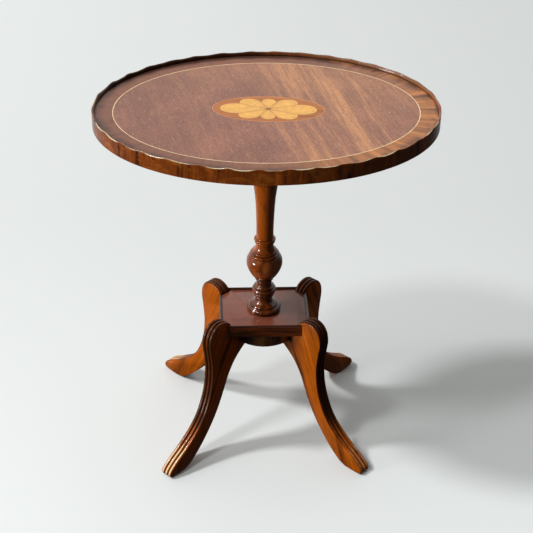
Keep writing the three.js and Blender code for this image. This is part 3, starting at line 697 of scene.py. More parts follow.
def even_oval(count, half_x, half_y):
    """Points at equal steps of length round an oval from its right end, with outward normals."""
    fine = np.linspace(0, TAU, 8001)
    step = np.hypot(np.diff(half_x * np.cos(fine)), np.diff(half_y * np.sin(fine)))
    run = np.concatenate([[0], np.cumsum(step)])
    angle = np.interp(np.arange(count + 1) / count * run[-1], run, fine)
    point = np.stack([half_x * np.cos(angle), half_y * np.sin(angle)], 1)
    normal = np.stack([half_y * np.cos(angle), half_x * np.sin(angle)], 1)
    normal /= np.linalg.norm(normal, axis=1, keepdims=True)
    return point, normal, np.linspace(0, run[-1], count + 1)


def oval(half, count, centre=(0, 0), turn=0.0):
    """Points round an oval whose half lengths are given, about a centre and turned in the plane."""
    angle = np.arange(count) * TAU / count
    return placed(np.stack([half[0] * np.cos(angle), half[1] * np.sin(angle)], 1), centre, turn)


def placed(points, centre, turn):
    """Flat points turned about the origin and then moved to a centre."""
    cos, sin = math.cos(turn), math.sin(turn)
    return points @ np.array([[cos, sin], [-sin, cos]]) + np.asarray(centre)


def band_section(outer, inner, bottom, top):
    """A flat band between two ovals, as rows: outer top, inner top, inner foot and outer foot."""
    rows = [(outer, top), (inner, top), (inner, bottom), (outer, bottom)]
    return np.stack([np.column_stack([points, np.full(len(points), z)]) for points, z in rows])


# ---- stage --------------------------------------------------------------------------------------
CAMERA_BACK = 1.7668
CAMERA_HEIGHT = 1.4533
CAMERA_PITCH = 0.5799
CAMERA_YAW = -0.0509
CAMERA_ROLL = 0.0160
CAMERA_SHIFT = 0.0040


def sun(name, strength, angle, towards):
    """A soft distant lamp that shines from the direction given."""
    data = bpy.data.lights.new(name, "SUN")
    data.energy = strength
    data.angle = angle
    lamp = bpy.data.objects.new(name, data)
    lamp.rotation_euler = Vector(towards).to_track_quat("Z", "Y").to_euler()
    bpy.context.scene.collection.objects.link(lamp)


def room(stage):
    """The room's light: bright behind and above the table, dim in front of it."""
    world = bpy.data.worlds.new("room")
    world.use_nodes = True
    tree = world.node_tree
    where = tree.nodes.new("ShaderNodeTexCoord")
    facing = tree.nodes.new("ShaderNodeVectorMath")
    facing.operation = "DOT_PRODUCT"
    facing.inputs[1].default_value = (-0.33, 0.72, 0.61)
    glow = tree.nodes.new("ShaderNodeMapRange")
    glow.interpolation_type = "SMOOTHSTEP"
    glow.inputs["From Min"].default_value = -0.25
    glow.inputs["From Max"].default_value = 0.95
    glow.inputs["To Min"].default_value = stage.dim_strength
    glow.inputs["To Max"].default_value = stage.room_strength
    background = tree.nodes["Background"]
    background.inputs["Color"].default_value = (1.0, 0.99, 0.97, 1)
    tree.links.new(where.outputs["Generated"], facing.inputs[0])
    tree.links.new(facing.outputs["Value"], glow.inputs["Value"])
    tree.links.new(glow.outputs["Result"], background.inputs["Strength"])
    return world


class TABLE_OT_stage(bpy.types.Operator):
    """Sets the camera, the lamps and a pale floor round the table"""

    bl_idname = "tilt_table.stage"
    bl_label = "Studio Stage"

    def execute(self, context):
        stage = context.scene.tilt_table.stage
        lens = bpy.data.cameras.new("camera")
        lens.lens = stage.lens
        lens.shift_x = CAMERA_SHIFT
        camera = bpy.data.objects.new("camera", lens)
        camera.matrix_world = (
            Matrix.Rotation(CAMERA_YAW, 4, "Z")
            @ Matrix.Translation((0, -CAMERA_BACK, CAMERA_HEIGHT))
            @ Matrix.Rotation(math.pi / 2 - CAMERA_PITCH, 4, "X")
            @ Matrix.Rotation(CAMERA_ROLL, 4, "Z")
        )
        context.scene.collection.objects.link(camera)
        context.scene.camera = camera

        reach = 7.0
        side = np.linspace(-reach, reach, 3)
        x, y = np.meshgrid(side, side, indexing="ij")
        floor = Shell().grid(np.stack([x, y, np.zeros_like(x)], -1))
        floor = floor.object("studio_floor", floor_finish(stage))
        floor.visible_diffuse = False
        floor.visible_glossy = False
        floor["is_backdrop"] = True

        sun("key", stage.key_strength, 0.12, (-0.85, 0.02, 1.0))
        sun("second", stage.second_strength, 0.14, (-0.60, -0.36, 1.0))
        sun("low", stage.low_strength, 0.30, (-1.0, -0.35, 0.08))
        context.scene.world = room(stage)
        context.scene.view_settings.view_transform = "Standard"
        return {"FINISHED"}


# ---- top ----------------------------------------------------------------------------------------
SHEET = 0.0009  # thickness of the veneers
BANDING = BOARD_X - STRING_X  # width of the cross-banding
PATERA = np.array([0.081, 0.0405])  # half lengths of the patera's oval
PATERA_TURN = math.radians(-4)
ROUND = 720  # steps round an oval


def closed_band(rows, **values):
    """A band's shell. Its values have one more column than it has points, to run on round it."""
    ends = {key: np.concatenate([value, value[:1]]) for key, value in values.items()}
    return Shell().grid(rows, (True, True), **ends)


def inlaid_line(name, outer, inner, look, node):
    """A thin boxwood line between two ovals, a little dirty here and there."""
    rows = band_section(outer, inner, SURFACE - SHEET, SURFACE)
    run = np.broadcast_to(np.linspace(0, TAU * np.abs(outer).max(), len(outer) + 1), (4, ROUND + 1))
    level = open_seam(rows)
    grain = np.stack([run, level[..., 0] * 0.02, level[..., 1] * 0.02], -1)
    fit(closed_band(rows, grain=grain, wear=0 * run - 0.3), name, look, "top",
        node)


class TABLE_OT_veneers(bpy.types.Operator):
    """Lays the field, the string line and the cross-banding on the board"""

    bl_idname = "tilt_table.veneers"
    bl_label = "Top Veneers"

    def execute(self, context):
        top = context.scene.tilt_table.top
        foot = SURFACE - SHEET
        string = np.array([STRING_X, STRING_Y])
        within = oval(string - top.string_width, ROUND)
        patera = oval(PATERA, ROUND, PATERA_AT, PATERA_TURN)
        line = oval(PATERA - top.line_width, ROUND, PATERA_AT, PATERA_TURN)
        field = closed_band(band_section(within, patera, foot, SURFACE))
        fit(field, "field_veneer_face", "field", "top", "field_veneer")
        inlaid_line("string_inlay", oval(string, ROUND), within, "string", "string_line")
        inlaid_line("patera_outline", patera, line, "outline", "patera_line")

        board = np.array([BOARD_X, BOARD_Y])
        rows = band_section(oval(board, ROUND), oval(string, ROUND), foot, SURFACE)
        rows = np.roll(rows, ROUND // 40, 1)
        out = np.array([1.0, 0.0, 0.0, 1.0])[:, None] * BANDING
        run = np.linspace(0, math.pi * (BOARD_X + BOARD_Y), ROUND + 1)[None]
        level = open_seam(rows)[..., 2]
        grain = np.stack(np.broadcast_arrays(out, run, level), -1)
        fit(closed_band(rows, grain=grain), "crossband_face", "band", "top",
            "crossband")
        return {"FINISHED"}


INSET = 0.00006  # how far the ground lies below the petals
EYE = 0.0026  # radius of the flower's eye

# A petal's foot and tip from the flower's centre, its half width, how slender its foot is, and the
# directions in degrees of the lines that part it from its neighbours. The rest are these mirrored.
LONG_PETAL = ((0.0034, 0.0), (0.0700, 0.0), 0.0156, 0.8, (-20, 20))
SLANT_PETAL = ((0.0028, 0.0020), (0.0405, 0.0258), 0.0142, 0.3, (20, 62))
SHORT_PETAL = ((0.0, 0.0032), (0.0, 0.0326), 0.0110, 0.3, (62, 118))
PETALS = (
    (LONG_PETAL, 1, 1),
    (SLANT_PETAL, 1, 1),
    (SHORT_PETAL, 1, 1),
    (SLANT_PETAL, -1, 1),
    (LONG_PETAL, -1, 1),
    (SLANT_PETAL, -1, -1),
    (SHORT_PETAL, 1, -1),
    (SLANT_PETAL, 1, -1),
)


def petal_outline(foot, tip, half_width, slender, parting, gap, count=120):
    """A drop with its point at the foot: along = -L*cos(t), across = W*sin(t)*sin(t/2)^slender,
    where L is half its length and W is set so that the widest place has the half width. Its sides
    stop half a gap short of the parting lines."""
    t = np.arange(count) * TAU / count
    spread = np.sin(t) * np.abs(np.sin(t / 2)) ** slender
    spread *= half_width / spread.max()
    foot, tip = np.array(foot), np.array(tip)
    half = np.linalg.norm(tip - foot) / 2
    axis = (tip - foot) / (2 * half)
    side = np.array([-axis[1], axis[0]])
    outline = (foot + tip) / 2 - half * np.cos(t)[:, None] * axis - spread[:, None] * side
    for angle, turn in zip(np.radians(parting), (1, -1)):
        inwards = turn * np.array([-math.sin(angle), math.cos(angle)])
        short = np.clip(gap / 2 - outline @ inwards, 0, None)
        outline = outline + short[:, None] * inwards
    return outline, foot + (1 + 0.15 * slender) * half * axis


class TABLE_OT_patera(bpy.types.Operator):
    """Lets the eight-petalled boxwood flower into the patera's reddish ground"""

    bl_idname = "tilt_table.patera"
    bl_label = "Patera"

    def execute(self, context):
        top = context.scene.tilt_table.top
        plan = oval(PATERA - top.line_width, ROUND, PATERA_AT, PATERA_TURN)
        rows = np.stack([np.column_stack([plan, np.full(ROUND, z)])
                         for z in (SURFACE - SHEET, SURFACE - INSET)])
        ground = Shell().tube(rows, True, grain=rows * [0.3, 1.0, 1.0])
        fit(ground, "patera_ground_face", "ground", "top", "patera_ground")

        for number, (shape, mirror_x, mirror_y) in enumerate(PETALS, 1):
            outline, middle = petal_outline(*shape, top.petal_gap)
            mirror = np.array([mirror_x, mirror_y])
            if mirror_x * mirror_y < 0:
                outline = outline[::-1]
            heart = np.clip(1 - np.linalg.norm(outline, axis=1) / 0.016, 0, 1) ** 2
            self.tile(f"petal_{number}", outline * mirror, middle * mirror, 0.25 * heart,
                      f"flower_petal_{number}", number)
        eye = oval((EYE, EYE), 96)
        self.tile("eye", eye, np.zeros(2), np.ones(96), "flower_eye", 9)
        return {"FINISHED"}

    def tile(self, name, outline, middle, shade, node, number):
        """A tile as rings that shrink from its outline to its middle, scorched at its edge and
        along a vein a little inside it. A ring is middle + share * (outline - middle)."""
        shares = np.array([1.0, 1.0, 0.965, 0.92, 0.875, 0.82, 0.76, 0.3])
        rings = middle + shares[:, None, None] * (outline - middle)
        level = np.where(np.arange(len(shares)) > 0, SURFACE, SURFACE - INSET)
        flat = placed(rings, PATERA_AT, PATERA_TURN)
        one = np.ones((*flat.shape[:2], 1))
        points = np.concatenate([flat, level[:, None, None] * one], -1)
        grain = np.concatenate([rings, 0.01 * number * one], -1)
        burnt = np.array([1.0, 0.85, 0.3, 0.0, 0.15, 0.6, 0.08, 0.0])
        wear = -np.clip(burnt[:, None] + shade, 0, 1)
        shell = Shell().tube(points, True, grain=grain, wear=wear)
        fit(shell, name, "inlay", "top", node)


class TABLE_OT_gallery(bpy.types.Operator):
    """Bends the gallery round the board, with its pie-crust edge"""

    bl_idname = "tilt_table.gallery"
    bl_label = "Gallery Rim"

    def execute(self, context):
        top = context.scene.tilt_table.top
        count = top.waves * 44
        outline, normal, run = even_oval(count, RIM_X, RIM_Y)
        crest, rub = self.pie_crust(top, run / run[-1] * TAU)

        # The section goes up the outer face, over the arris and down the hollow inner wall. Each
        # point has an inset, a share of the way up from the foot to the crest less the drop below
        # it, and a mark for wear: 1 on the arris, scaled by the rub, which is partly painted highlight
        # at the lit front left, and below 0 down the inner wall towards its foot, where it is darker.
        thick = top.rim_thickness
        arris, hollow, drop = 0.0009, thick - 0.0009, 0.0036
        section = [(0.0, share, 0.0, 0.25 if share == 0 else 0.0) for share in (0, 0.3, 0.6, 0.9)]
        for b in np.radians([0, 22, 45, 68]):
            cos, sin = math.cos(b), math.sin(b)
            section.append((arris * (1 - cos), 1.0, arris * (1 - sin), 0.3 + 0.7 * sin))
        for b in np.radians([0, 12, 26, 42, 60, 78, 90]):
            cos, sin = math.cos(b), math.sin(b)
            section.append((arris + hollow * sin, 1.0, drop * (1 - cos), cos**8))
        rows, wear = [], []
        for inset, share, below, mark in section:
            height = UNDERSIDE + share * (crest - arris - UNDERSIDE)
            height = height + (share == 1) * (arris - below)
            rows.append(np.column_stack([outline - inset * normal, height]))
            wear.append(mark * (rub if mark >= 0.3 else 1.0) * np.ones(count + 1))
        for height, mark in ((SURFACE + 0.0005, -0.9), (SURFACE - 0.002, -0.5), (UNDERSIDE, 0.0)):
            rows.append(np.column_stack([outline - thick * normal, np.full(count + 1, height)]))
            wear.append(np.full(count + 1, mark))
        points, wear = np.stack(rows), np.stack(wear)
        depth = 0.0005 * np.arange(len(rows))[:, None]
        grain = np.stack(np.broadcast_arrays(points[..., 2], run, depth), -1)
        ends = {key: np.concatenate([value, value[:1]])
                for key, value in (("grain", grain), ("wear", wear))}
        shell = Shell().grid(points[:, :-1], (True, True), flip=True, **ends)
        fit(shell, "gallery", "rim", "top", "gallery_rim", 50)
        return {"FINISHED"}

    def pie_crust(self, top, angle):
        """The edge's height and how rubbed it is, from the share of the way round. The rub is painted strongest at
        the front left, where the arris faces the lamps, so there it is partly a painted highlight.

        Each wave rises slowly and falls a little faster; slow sines make waves differ in length
        and depth, deepest at the front left.
        """
        front_left = 0.5 + 0.5 * np.cos(angle - math.radians(238))
        uneven = 0.45 * np.sin(5 * angle + 0.7) + 0.35 * np.sin(11 * angle + 2.1)
        phase = top.waves * angle + 0.9 * uneven
        wave = 0.5 - 0.5 * np.cos(phase + 0.45 * np.sin(phase))
        depth = top.wave_height * (0.5 + 0.55 * front_left) * (1 + 0.25 * np.sin(7 * angle + 1.3))
        ripple = 0.00012 * np.sin(83 * angle) * np.sin(9 * angle)
        # Partly painted highlight: the rub is raised at the lit front left as well as marking wear.
        rub = (0.35 + 0.65 * front_left) * (0.55 + 0.45 * wave) * (0.8 + 0.3 * np.sin(13 * angle))
        return RIM_TOP - np.clip(depth * wave**1.2 + ripple, 0, None), rub


def planed(outline, low_side, high_side, softness, turn):
    """A board cut to an outline (a, b), from one side to the other along its third direction.

    The section across the edge is a quarter round, a straight and a quarter round, carried round
    the outline; turn places (a, b, side) in the frame.
    """
    bend = np.linspace(0, math.pi / 2, 4)
    inset = softness * (1 - np.sin(bend))
    rise = softness * (1 - np.cos(bend))
    insets = np.concatenate([inset, inset[::-1]])
    levels = np.concatenate([low_side + rise, high_side - rise[::-1]])
    normal = outline_normals(outline)
    flat = outline[None] - insets[:, None, None] * normal[None]
    side = np.broadcast_to(levels[:, None], flat.shape[:2])
    local = np.concatenate([flat, side[..., None]], -1)
    return turned_board(local, turn)


def outline_normals(outline):
    """Outward normals of a closed counterclockwise outline, from each point's two neighbours."""
    along = np.roll(outline, -1, 0) - np.roll(outline, 1, 0)
    normal = np.stack([along[:, 1], -along[:, 0]], 1)
    return normal / np.maximum(np.linalg.norm(normal, axis=1, keepdims=True), 1e-12)


def turned_board(local, turn, grain=None, wear=None):
    """A board's edge grid with a flat face on each side."""
    grain = local if grain is None else grain
    wear = np.zeros(local.shape[:2]) if wear is None else wear
    mirrored = np.linalg.det(turn(np.eye(3)[None])[0] - turn(np.zeros((1, 1, 3)))[0]) < 0
    return Shell().tube(turn(local), not mirrored, grain=grain, wear=wear)


def dense(outline, step):
    """The closed outline with extra points, none further apart than the step."""
    parts = []
    for start, end in zip(outline, np.roll(outline, -1, 0)):
        pieces = max(1, int(np.linalg.norm(end - start) / step))
        parts.append(start + (end - start) * np.arange(pieces)[:, None] / pieces)
    return np.concatenate(parts)


class TABLE_OT_carcase(bpy.types.Operator):
    """Makes the board, the bearers under it and the block on the column's head"""

    bl_idname = "tilt_table.carcase"
    bl_label = "Board, Bearers and Block"

    def execute(self, context):
        plan = oval((BOARD_X, BOARD_Y), ROUND)
        shell = planed(plan, UNDERSIDE, high("top_board")[2], 0.0004, lambda p: p)
        fit(shell, "oval_board", "carcase", "top", "top_board")

        for side in SIDES:
            self.bearer(side)
        self.block()
        return {"FINISHED"}

    def bearer(self, side):
        """A rail whose lower corners sweep up to each end in an ogee."""
        start, end = low(f"bearer_{side}"), high(f"bearer_{side}")
        share = np.linspace(0, 1, 24)
        sweep, tip = 0.032, 0.0075
        ease = share - np.sin(TAU * share) / TAU
        rise = (end[2] - tip - start[2]) * (1 - ease)
        left = np.column_stack([start[1] + sweep * share, start[2] + rise])
        right = np.column_stack([end[1] - sweep * share[::-1], start[2] + rise[::-1]])
        outline = np.concatenate([left, right, [[end[1], end[2]], [start[1], end[2]]]])
        shell = planed(outline, start[0], end[0], 0.0007, lambda p: p[..., [2, 0, 1]])
        fit(shell, f"rail_{side}", "rail", "top", f"bearer_{side}")

    def block(self):
        """Square but for its top front corner, which is round about the hinge line."""
        reach = BLOCK_HIGH[2] - PIVOT[2]
        bend = np.linspace(math.pi / 2, math.pi, 17)
        corner = PIVOT[1:] + reach * np.stack([np.cos(bend), np.sin(bend)], 1)
        front, back = BLOCK_LOW[1], BLOCK_HIGH[1]
        square = [[front, BLOCK_LOW[2]], [back, BLOCK_LOW[2]], [back, BLOCK_HIGH[2]]]
        outline = np.concatenate([square, corner])
        shell = planed(outline, BLOCK_LOW[0], BLOCK_HIGH[0], 0.0006, lambda p: p[..., [2, 0, 1]])
        fit(shell, "head_block", "rail", "stand", "top_block")


# ---- column -------------------------------------------------------------------------------------
def spline(points, steps=12):
    """A uniform Catmull-Rom curve through the points, its ends repeated."""
    knots = np.array(points, float)
    padded = np.concatenate([2 * knots[:1] - knots[1:2], knots, 2 * knots[-1:] - knots[-2:-1]])
    t = np.arange(steps)[:, None] / steps
    parts = []
    for before, start, end, after in zip(padded, padded[1:], padded[2:], padded[3:]):
        cubic = 2 * start + (end - before) * t
        cubic = cubic + (2 * before - 5 * start + 4 * end - after) * t**2
        cubic = cubic + (3 * start - before - 3 * end + after) * t**3
        parts.append(cubic / 2)
    return np.concatenate(parts + [knots[-1:]])


def arc(radius, height, half_width, half_height, start, end, steps=14):
    """Part of an ellipse in the profile, between two angles in degrees."""
    angle = np.radians(np.linspace(start, end, steps))
    return np.stack([radius + half_width * np.cos(angle), height + half_height * np.sin(angle)], 1)


def bead(radius, height, out, half_height, steps=12):
    return arc(radius, height, out, half_height, -90, 90, steps)


def cove(first, last, depth, steps=10):
    """A hollow between two profile points: the chord less a sine of the given depth."""
    share = np.linspace(0, 1, steps)[:, None]
    chord = np.array(first) + share * (np.array(last) - np.array(first))
    chord[:, 0] -= depth * np.sin(math.pi * share[:, 0])
    return chord


def column_profile():
    """The turned profile from the foot's seat to the shoulder under the block, in millimetres."""
    head = (BLOCK_LOW[2] * 1000) - 0.3
    seat = PLATFORM_TOP * 1000 + 0.2
    parts = [
        [[0, seat], [24.6, seat]],
        arc(21.8, seat + 4.3, 4.9, 4.1, -70, 72),
        [[22.8, seat + 8.7], [21.8, seat + 9.3]],
        arc(18.8, seat + 10.8, 2.6, 1.8, -50, 80, 8),
        cove((18.4, seat + 13.0), (12.9, seat + 18.2), 1.3),
        [[12.5, seat + 19.6], [12.3, seat + 22.4]],
        bead(13.0, seat + 25.2, 1.8, 1.5, 8),
        cove((13.0, seat + 27), (14.2, seat + 29.2), 0.4, 4),
        bead(14.6, seat + 31.0, 2.6, 1.5, 9),
        [[15.0, seat + 32.8]],
        bead(15.4, seat + 36.6, 3.3, 3.3, 13),
        [[14.8, seat + 40.3]],
        bead(14.2, seat + 42.0, 1.9, 1.5, 8),
        cove((13.6, seat + 43.8), (11.6, seat + 48.4), 0.9),
        [[11.4, seat + 50.6], [11.5, seat + 52.6]],
        cove((11.8, seat + 53.6), (12.2, seat + 54.6), 0.1, 3),
        bead(12.2, seat + 56.6, 1.9, 1.7, 9),
        spline([[13.4, seat + 58.6], [17.3, 281.5], [21.2, 287.0], [24.5, 293.5], [27.0, 300.5],
                [27.7, 307.0], [26.8, 313.0], [24.2, 317.8]], 7),
        [[22.6, 319.2], [22.0, 319.8]],
        bead(20.8, 321.6, 1.9, 1.5, 8),
        [[19.6, 323.6], [19.0, 324.4]],
        bead(18.0, 326.0, 1.6, 1.4, 8),
        cove((17.2, 327.8), (13.5, 336.0), 0.7),
        [[13.1, 339.6]],
        bead(13.4, 343.0, 2.3, 1.5, 9),
        [[13.6, 344.9]],
        bead(13.6, 347.2, 3.1, 2.0, 11),
        cove((13.4, 349.6), (13.1, 354), 0.2, 5),
        [[13.1, 365], [13.5, 380], [14.0, 395], [14.6, 408], [15.9, 424], [17.3, 434]],
        cove((17.9, 439), (18.8, 446), 0.1, 6),
        bead(18.6, 449.4, 3.0, 2.4, 12),
        cove((18.2, 453), (18.6, 462), 0.5),
        [[19.6, 480], [20.8, 500], [21.6, 510]],
        bead(21.0, head - 5, 3.6, 4.2, 12),
        [[21.4, head - 0.4], [21, head], [0, head]],
    ]
    return np.concatenate([np.asarray(part, float) for part in parts]) / 1000


def proudness(profile, reach=0.0035):
    """How far each profile point stands proud of its neighbourhood, scaled to about -1 to 1."""
    run = np.concatenate([[0], np.cumsum(np.linalg.norm(np.diff(profile, axis=0), axis=1))])
    grid = np.linspace(0, run[-1], 4000)
    radius = np.interp(grid, run, profile[:, 0])
    half = max(1, int(reach / (grid[1] - grid[0])))
    padded = np.pad(radius, half, mode="edge")
    smooth = np.convolve(padded, np.ones(2 * half + 1) / (2 * half + 1), "valid")
    return np.clip(np.interp(run, grid, radius - smooth) / 0.0011, -1, 1)


class TABLE_OT_column(bpy.types.Operator):
    """Turns the column with its rings, ball and foot"""

    bl_idname = "tilt_table.column"
    bl_label = "Column"

    def execute(self, context):
        profile = column_profile()
        proud = proudness(profile)
        # Darker in the hollows and a little paler on the crowns, from how proud each point of the profile stands.
        shell = revolve(profile, 160, np.where(proud > 0, 0.35 * proud, proud))
        fit(shell, "turned_column", "turned", "stand", "column", 40)
        return {"FINISHED"}


# ---- platform -----------------------------------------------------------------------------------
def leg_frame(sx, sy):
    """Where a corner's knee is, and the directions along its leg and across it."""
    along = np.array([sx * math.cos(LEG_SPLAY), sy * math.sin(LEG_SPLAY)])
    across = np.array([-along[1], along[0]])
    return np.array([sx * KNEE_X, sy * KNEE_Y]), along, across


def notched_plan(half_x, half_y):
    """The platform's plan, with a slot for a leg let into each corner, counterclockwise."""
    plan = []
    for sx, sy in ((1, 1), (-1, 1), (-1, -1), (1, -1)):
        knee, along, across = leg_frame(sx, sy)
        inner = knee + (LEG_INNER - 0.0001) * along
        cuts = []
        for side in (-1, 1):
            start = inner + side * SLOT_HALF * across
            to_x = (sx * half_x - start[0]) / along[0]
            to_y = (sy * half_y - start[1]) / along[1]
            cuts.append((start + min(to_x, to_y) * along, start))
        (first_out, first_in), (last_out, last_in) = cuts
        plan += [first_out, first_in, last_in, last_out]
    return np.array(plan)


class TABLE_OT_platform(bpy.types.Operator):
    """Makes the platform with its moulded edges and the boss under it"""

    bl_idname = "tilt_table.platform"
    bl_label = "Platform"

    def execute(self, context):
        plan = dense(notched_plan(PLATFORM_X, PLATFORM_Y), 0.004)
        shell = planed(plan, PLATFORM_UNDERSIDE, PLATFORM_TOP, 0.0004, lambda p: p)
        fit(shell, "platform_slab", "platform", "stand", "platform")

        profile = np.concatenate([
            [[0, BOSS_UNDERSIDE], [BOSS_R - 0.004, BOSS_UNDERSIDE]],
            arc(BOSS_R - 0.0025, BOSS_UNDERSIDE + 0.0025, 0.0025, 0.0025, -80, 0, 8),
            [[BOSS_R, PLATFORM_UNDERSIDE - 0.0003], [0, PLATFORM_UNDERSIDE - 0.0003]],
        ])
        boss = revolve(profile, 160, np.zeros(len(profile)))
        fit(boss, "round_boss", "turned", "stand", "platform_boss")

        for side, sx in SIDES.items():
            self.moulding(f"edge_bead_{side}", 1, sx)
        for end, sy in ENDS.items():
            self.moulding(f"edge_bead_{end}", 0, sy)
        return {"FINISHED"}

    def moulding(self, node, run, sign):
        """A strip along one edge: a full round towards the edge and a small fillet inside it.

        Its section is carried along X or Y between the sides of the two legs.
        """
        start, end = low(node), high(node)
        wide = end[1 - run] - start[1 - run]
        tall = BEAD_TOP - start[2]
        bend = np.radians(np.linspace(0, 180, 15))
        round_half = 0.36 * wide
        crown = np.stack([0.5 * wide - round_half + round_half * np.cos(bend),
                          0.35 * tall + 0.65 * tall * np.sin(bend)], 1)
        section = np.concatenate([
            [[0.5 * wide, 0]],
            crown,
            [[-0.26 * wide, 0.30 * tall], [-0.45 * wide, 0.30 * tall], [-0.5 * wide, 0]],
        ])
        middle = sign * (np.abs([start, end]).max(0)[1 - run] - wide / 2)
        across = sign * section[:, 0] + middle
        # Each line of the strip ends where it meets the slot's side, so the ends are mitred.
        knee, along, side = leg_frame(1, 1)
        flank = knee + (-SLOT_HALF if run == 1 else SLOT_HALF) * side
        other = 1 - run
        reach = flank[run] + (np.abs(across) - flank[other]) * along[run] / along[other]
        points = np.empty((40, len(section), 3))
        points[..., run] = reach * np.linspace(-1, 1, 40)[:, None]
        points[..., other] = across
        points[..., 2] = section[:, 1] + start[2]
        grain = points[..., [run, other, 2]]
        crest = np.clip(section[:, 1] / tall, 0, 1) ** 3
        # Darker along the bead's lower sides and fillet, where it meets the platform, and paler towards its crown.
        worn = np.where(section[:, 1] < 0.32 * tall, -0.9, 0.3 * crest)
        worn = np.broadcast_to(worn, points.shape[:2])
        shell = Shell().tube(points, (run == 1) == (sign > 0), grain=grain, wear=worn)
        name = node.replace("edge_bead", "edge_moulding")
        fit(shell, name, "platform", "stand", node)


# ---- legs ---------------------------------------------------------------------------------------
def leg_outline():
    """The sabre leg's side outline and, for each point, how fully it carries the reeds.

    Millimetres, outwards from the top of the knee and up from the floor, clockwise from the inner
    end of the knee.
    """
    under_platform = PLATFORM_UNDERSIDE * 1000 - 0.1
    seat = PLATFORM_TOP * 1000
    outer = spline(
        [[-24, seat + 1.2], [-20.5, 224.8], [-12, 230], [0, 232], [12.5, 227.4], [20.2, 216.4],
         [22.6, 201], [20.2, 183], [17.8, 164], [17.4, 145], [20.2, 121.5], [27.4, 97.5],
         [39.5, 73.5], [58, 53.5], [82, 36], [103, 23.5], [114.5, 14.5]]
    )
    toe = spline([[114.5, 14.5], [118.2, 9.5], [118.4, 4.5], [114.5, 1.2], [108, 0.0]], 8)
    sole = np.array([[100, 0.0], [92, 0.0]])
    under = spline(
        [[85, 0.0], [72, 4.8], [54, 18.5], [40, 32.5], [27, 47.5], [14, 65.5], [3, 84.5],
         [-7, 105.5], [-17, 127.5], [-30, 146.5], [-43, 158.5], [-56, 167.5]]
    )
    inner = np.array([[-56, under_platform], [-40, under_platform], [-24, under_platform]])
    parts = [outer[:-1], toe, sole, under, inner]
    reeded = np.repeat([1.0, 1.0, 0.0, 0.0, 0.0], [len(part) for part in parts])
    return np.concatenate(parts) / 1000, reeded


def evenly(outline, share, step):
    """The closed outline and its share resampled at equal steps of length."""
    ring = np.concatenate([outline, outline[:1]])
    shares = np.concatenate([share, share[:1]])
    run = np.concatenate([[0], np.cumsum(np.linalg.norm(np.diff(ring, axis=0), axis=1))])
    at = np.arange(0, run[-1], step)
    place = np.stack([np.interp(at, run, ring[:, k]) for k in (0, 1)], 1)
    return place, np.interp(at, run, shares)


def leg_section(reeds, depth, softness):
    """Across the leg's edge: for each line, its side offset, its inset plain, and its inset reeded.

    Plain is a flat edge with softened corners. Reeded is a row of half rounds whose grooves are
    as deep as the reed depth.
    """
    per_reed = 12
    side = np.linspace(-LEG_HALF, LEG_HALF, reeds * per_reed + 1)
    share = (side + LEG_HALF) / (2 * LEG_HALF) * reeds % 1.0
    round_edge = np.sqrt(np.clip(1 - (2 * share - 1) ** 2, 0, 1))
    reeded = depth * (1 - round_edge)
    margin = LEG_HALF - np.abs(side)
    plain = softness * (1 - np.sqrt(np.clip(1 - (1 - np.clip(margin / softness, 0, 1)) ** 2, 0, 1)))
    return side, plain, reeded, round_edge


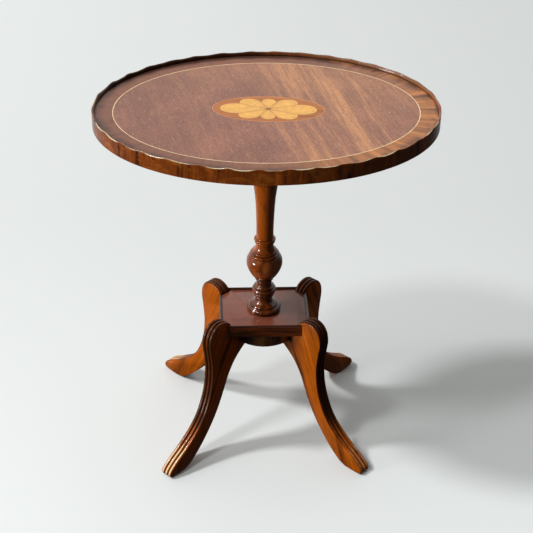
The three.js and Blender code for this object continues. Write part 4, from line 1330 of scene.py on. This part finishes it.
class TABLE_OT_legs(bpy.types.Operator):
    """Saws out the four sabre legs and runs the reeds along their outer edges"""

    bl_idname = "tilt_table.legs"
    bl_label = "Sabre Legs"

    def execute(self, context):
        stand = context.scene.tilt_table.stand
        outline, share = leg_outline()
        outline, share = evenly(outline, share, 0.0016)
        outline, share = outline[::-1], share[::-1]
        normal = outline_normals(outline)
        lines = leg_section(stand.reeds, stand.reed_depth, stand.corner_round)
        side, plain, reeded, round_edge = (line[:, None] for line in lines)
        inset = plain * (1 - share) + reeded * share
        place = outline[None] - inset[..., None] * normal[None]
        local = np.concatenate([place, np.broadcast_to(side, inset.shape)[..., None]], -1)

        # Rubbed pale along the reeds' crowns, most at the toe and least below the knee; the rest
        # of the reeded edge is dark with old polish, and darkest in the grooves.
        toe = np.clip((outline[:, 0] - 0.044) / 0.048, 0, 1)
        knee = np.exp(-(((outline[:, 1] - 0.231) / 0.012) ** 2))
        rub = 0.95 * toe + 0.12 * knee - 0.62 * (1 - toe)
        crown = np.clip((round_edge - 0.82) / 0.18, 0, 1)
        reed_wear = crown * rub - (1 - crown) * (0.95 - 0.6 * toe)
        wear = share * reed_wear + (1 - share) * np.where(plain > 0.0002, 0.3, 0.0)
        flank = np.broadcast_to(np.abs(side) > LEG_HALF * 0.995, wear.shape)
        wear = np.where(flank, 0.1 * share + 0.2 * toe, wear)

        # Straight grain in the plank, from the knee to the toe.
        rake = math.atan2(-0.22, 0.10)
        lengthwise = local[..., 0] * math.cos(rake) + local[..., 1] * math.sin(rake)
        crosswise = -local[..., 0] * math.sin(rake) + local[..., 1] * math.cos(rake)
        for place_name, (sx, sy) in CORNERS.items():
            knee_at, along, across = leg_frame(sx, sy)
            shift = 0.31 * (sx + 2 * sy)
            # Painted light as well as wear: the pale is raised on the left legs, which face the lamps, and lowered
            # on the right legs, which are in shade.
            paler = np.where(wear > 0, 0.84 - 0.30 * sx, 1.0) * wear
            grain = np.stack([lengthwise + shift, crosswise + shift, local[..., 2] + shift], -1)

            def turn(p):
                flat = knee_at + p[..., :1] * along + p[..., 2:] * across
                return np.concatenate([flat, p[..., 1:2]], -1)

            shell = turned_board(local, turn, grain, paler)
            fit(shell, f"sabre_leg_{place_name}", "legs", "stand",
                f"leg_{place_name}", 50)
        return {"FINISHED"}


# ---- catch and joinery --------------------------------------------------------------------------
class TABLE_OT_fittings(bpy.types.Operator):
    """Finishes the catch, pins, screws, spring, dowels and wedges"""

    bl_idname = "tilt_table.fittings"
    bl_label = "Catch and Joinery"

    def execute(self, context):
        slots = {s["node"]: s["material_slot"] for s in frame["record"]["subparts"]}
        by_slot = {"brass": "brass", "steel": "steel", "peg_wood": "pegs"}
        for node, made in frame["nodes"].items():
            if slots.get(node) in by_slot:
                made.data.materials.clear()
                made.data.materials.append(finish(by_slot[slots[node]]))
        return {"FINISHED"}


class TABLE_PT_panel(bpy.types.Panel):
    """Lists the table's pieces and settings"""

    bl_label = "Tilt Top Table"
    bl_idname = "TABLE_PT_panel"
    bl_space_type = "VIEW_3D"
    bl_region_type = "UI"
    bl_category = "Tilt Table"

    def draw(self, context):
        settings = context.scene.tilt_table
        for group in (settings.top, settings.stand, settings.fittings, settings.stage):
            box = self.layout.box()
            for name in group.__annotations__:
                box.prop(group, name)
        for operator in OPERATORS:
            self.layout.operator(operator.bl_idname)


OPERATORS = (
    TABLE_OT_stage,
    TABLE_OT_veneers,
    TABLE_OT_patera,
    TABLE_OT_gallery,
    TABLE_OT_carcase,
    TABLE_OT_column,
    TABLE_OT_platform,
    TABLE_OT_legs,
    TABLE_OT_fittings,
)
CLASSES = (
    TopSettings,
    StandSettings,
    FittingSettings,
    StageSettings,
    TableSettings,
    *OPERATORS,
    TABLE_PT_panel,
)


def register():
    for cls in CLASSES:
        bpy.utils.register_class(cls)
    bpy.types.Scene.tilt_table = bpy.props.PointerProperty(type=TableSettings)


def unregister():
    del bpy.types.Scene.tilt_table
    for cls in reversed(CLASSES):
        bpy.utils.unregister_class(cls)


def plain(box):
    return [[float(value) for value in corner] for corner in box]


def main():
    register()
    for operator in OPERATORS:
        group, name = operator.bl_idname.split(".")
        getattr(getattr(bpy.ops, group), name)()
    {"cad": plain(CAD_BOX), "visual": plain(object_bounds())}


if __name__ == "__main__":
    main()
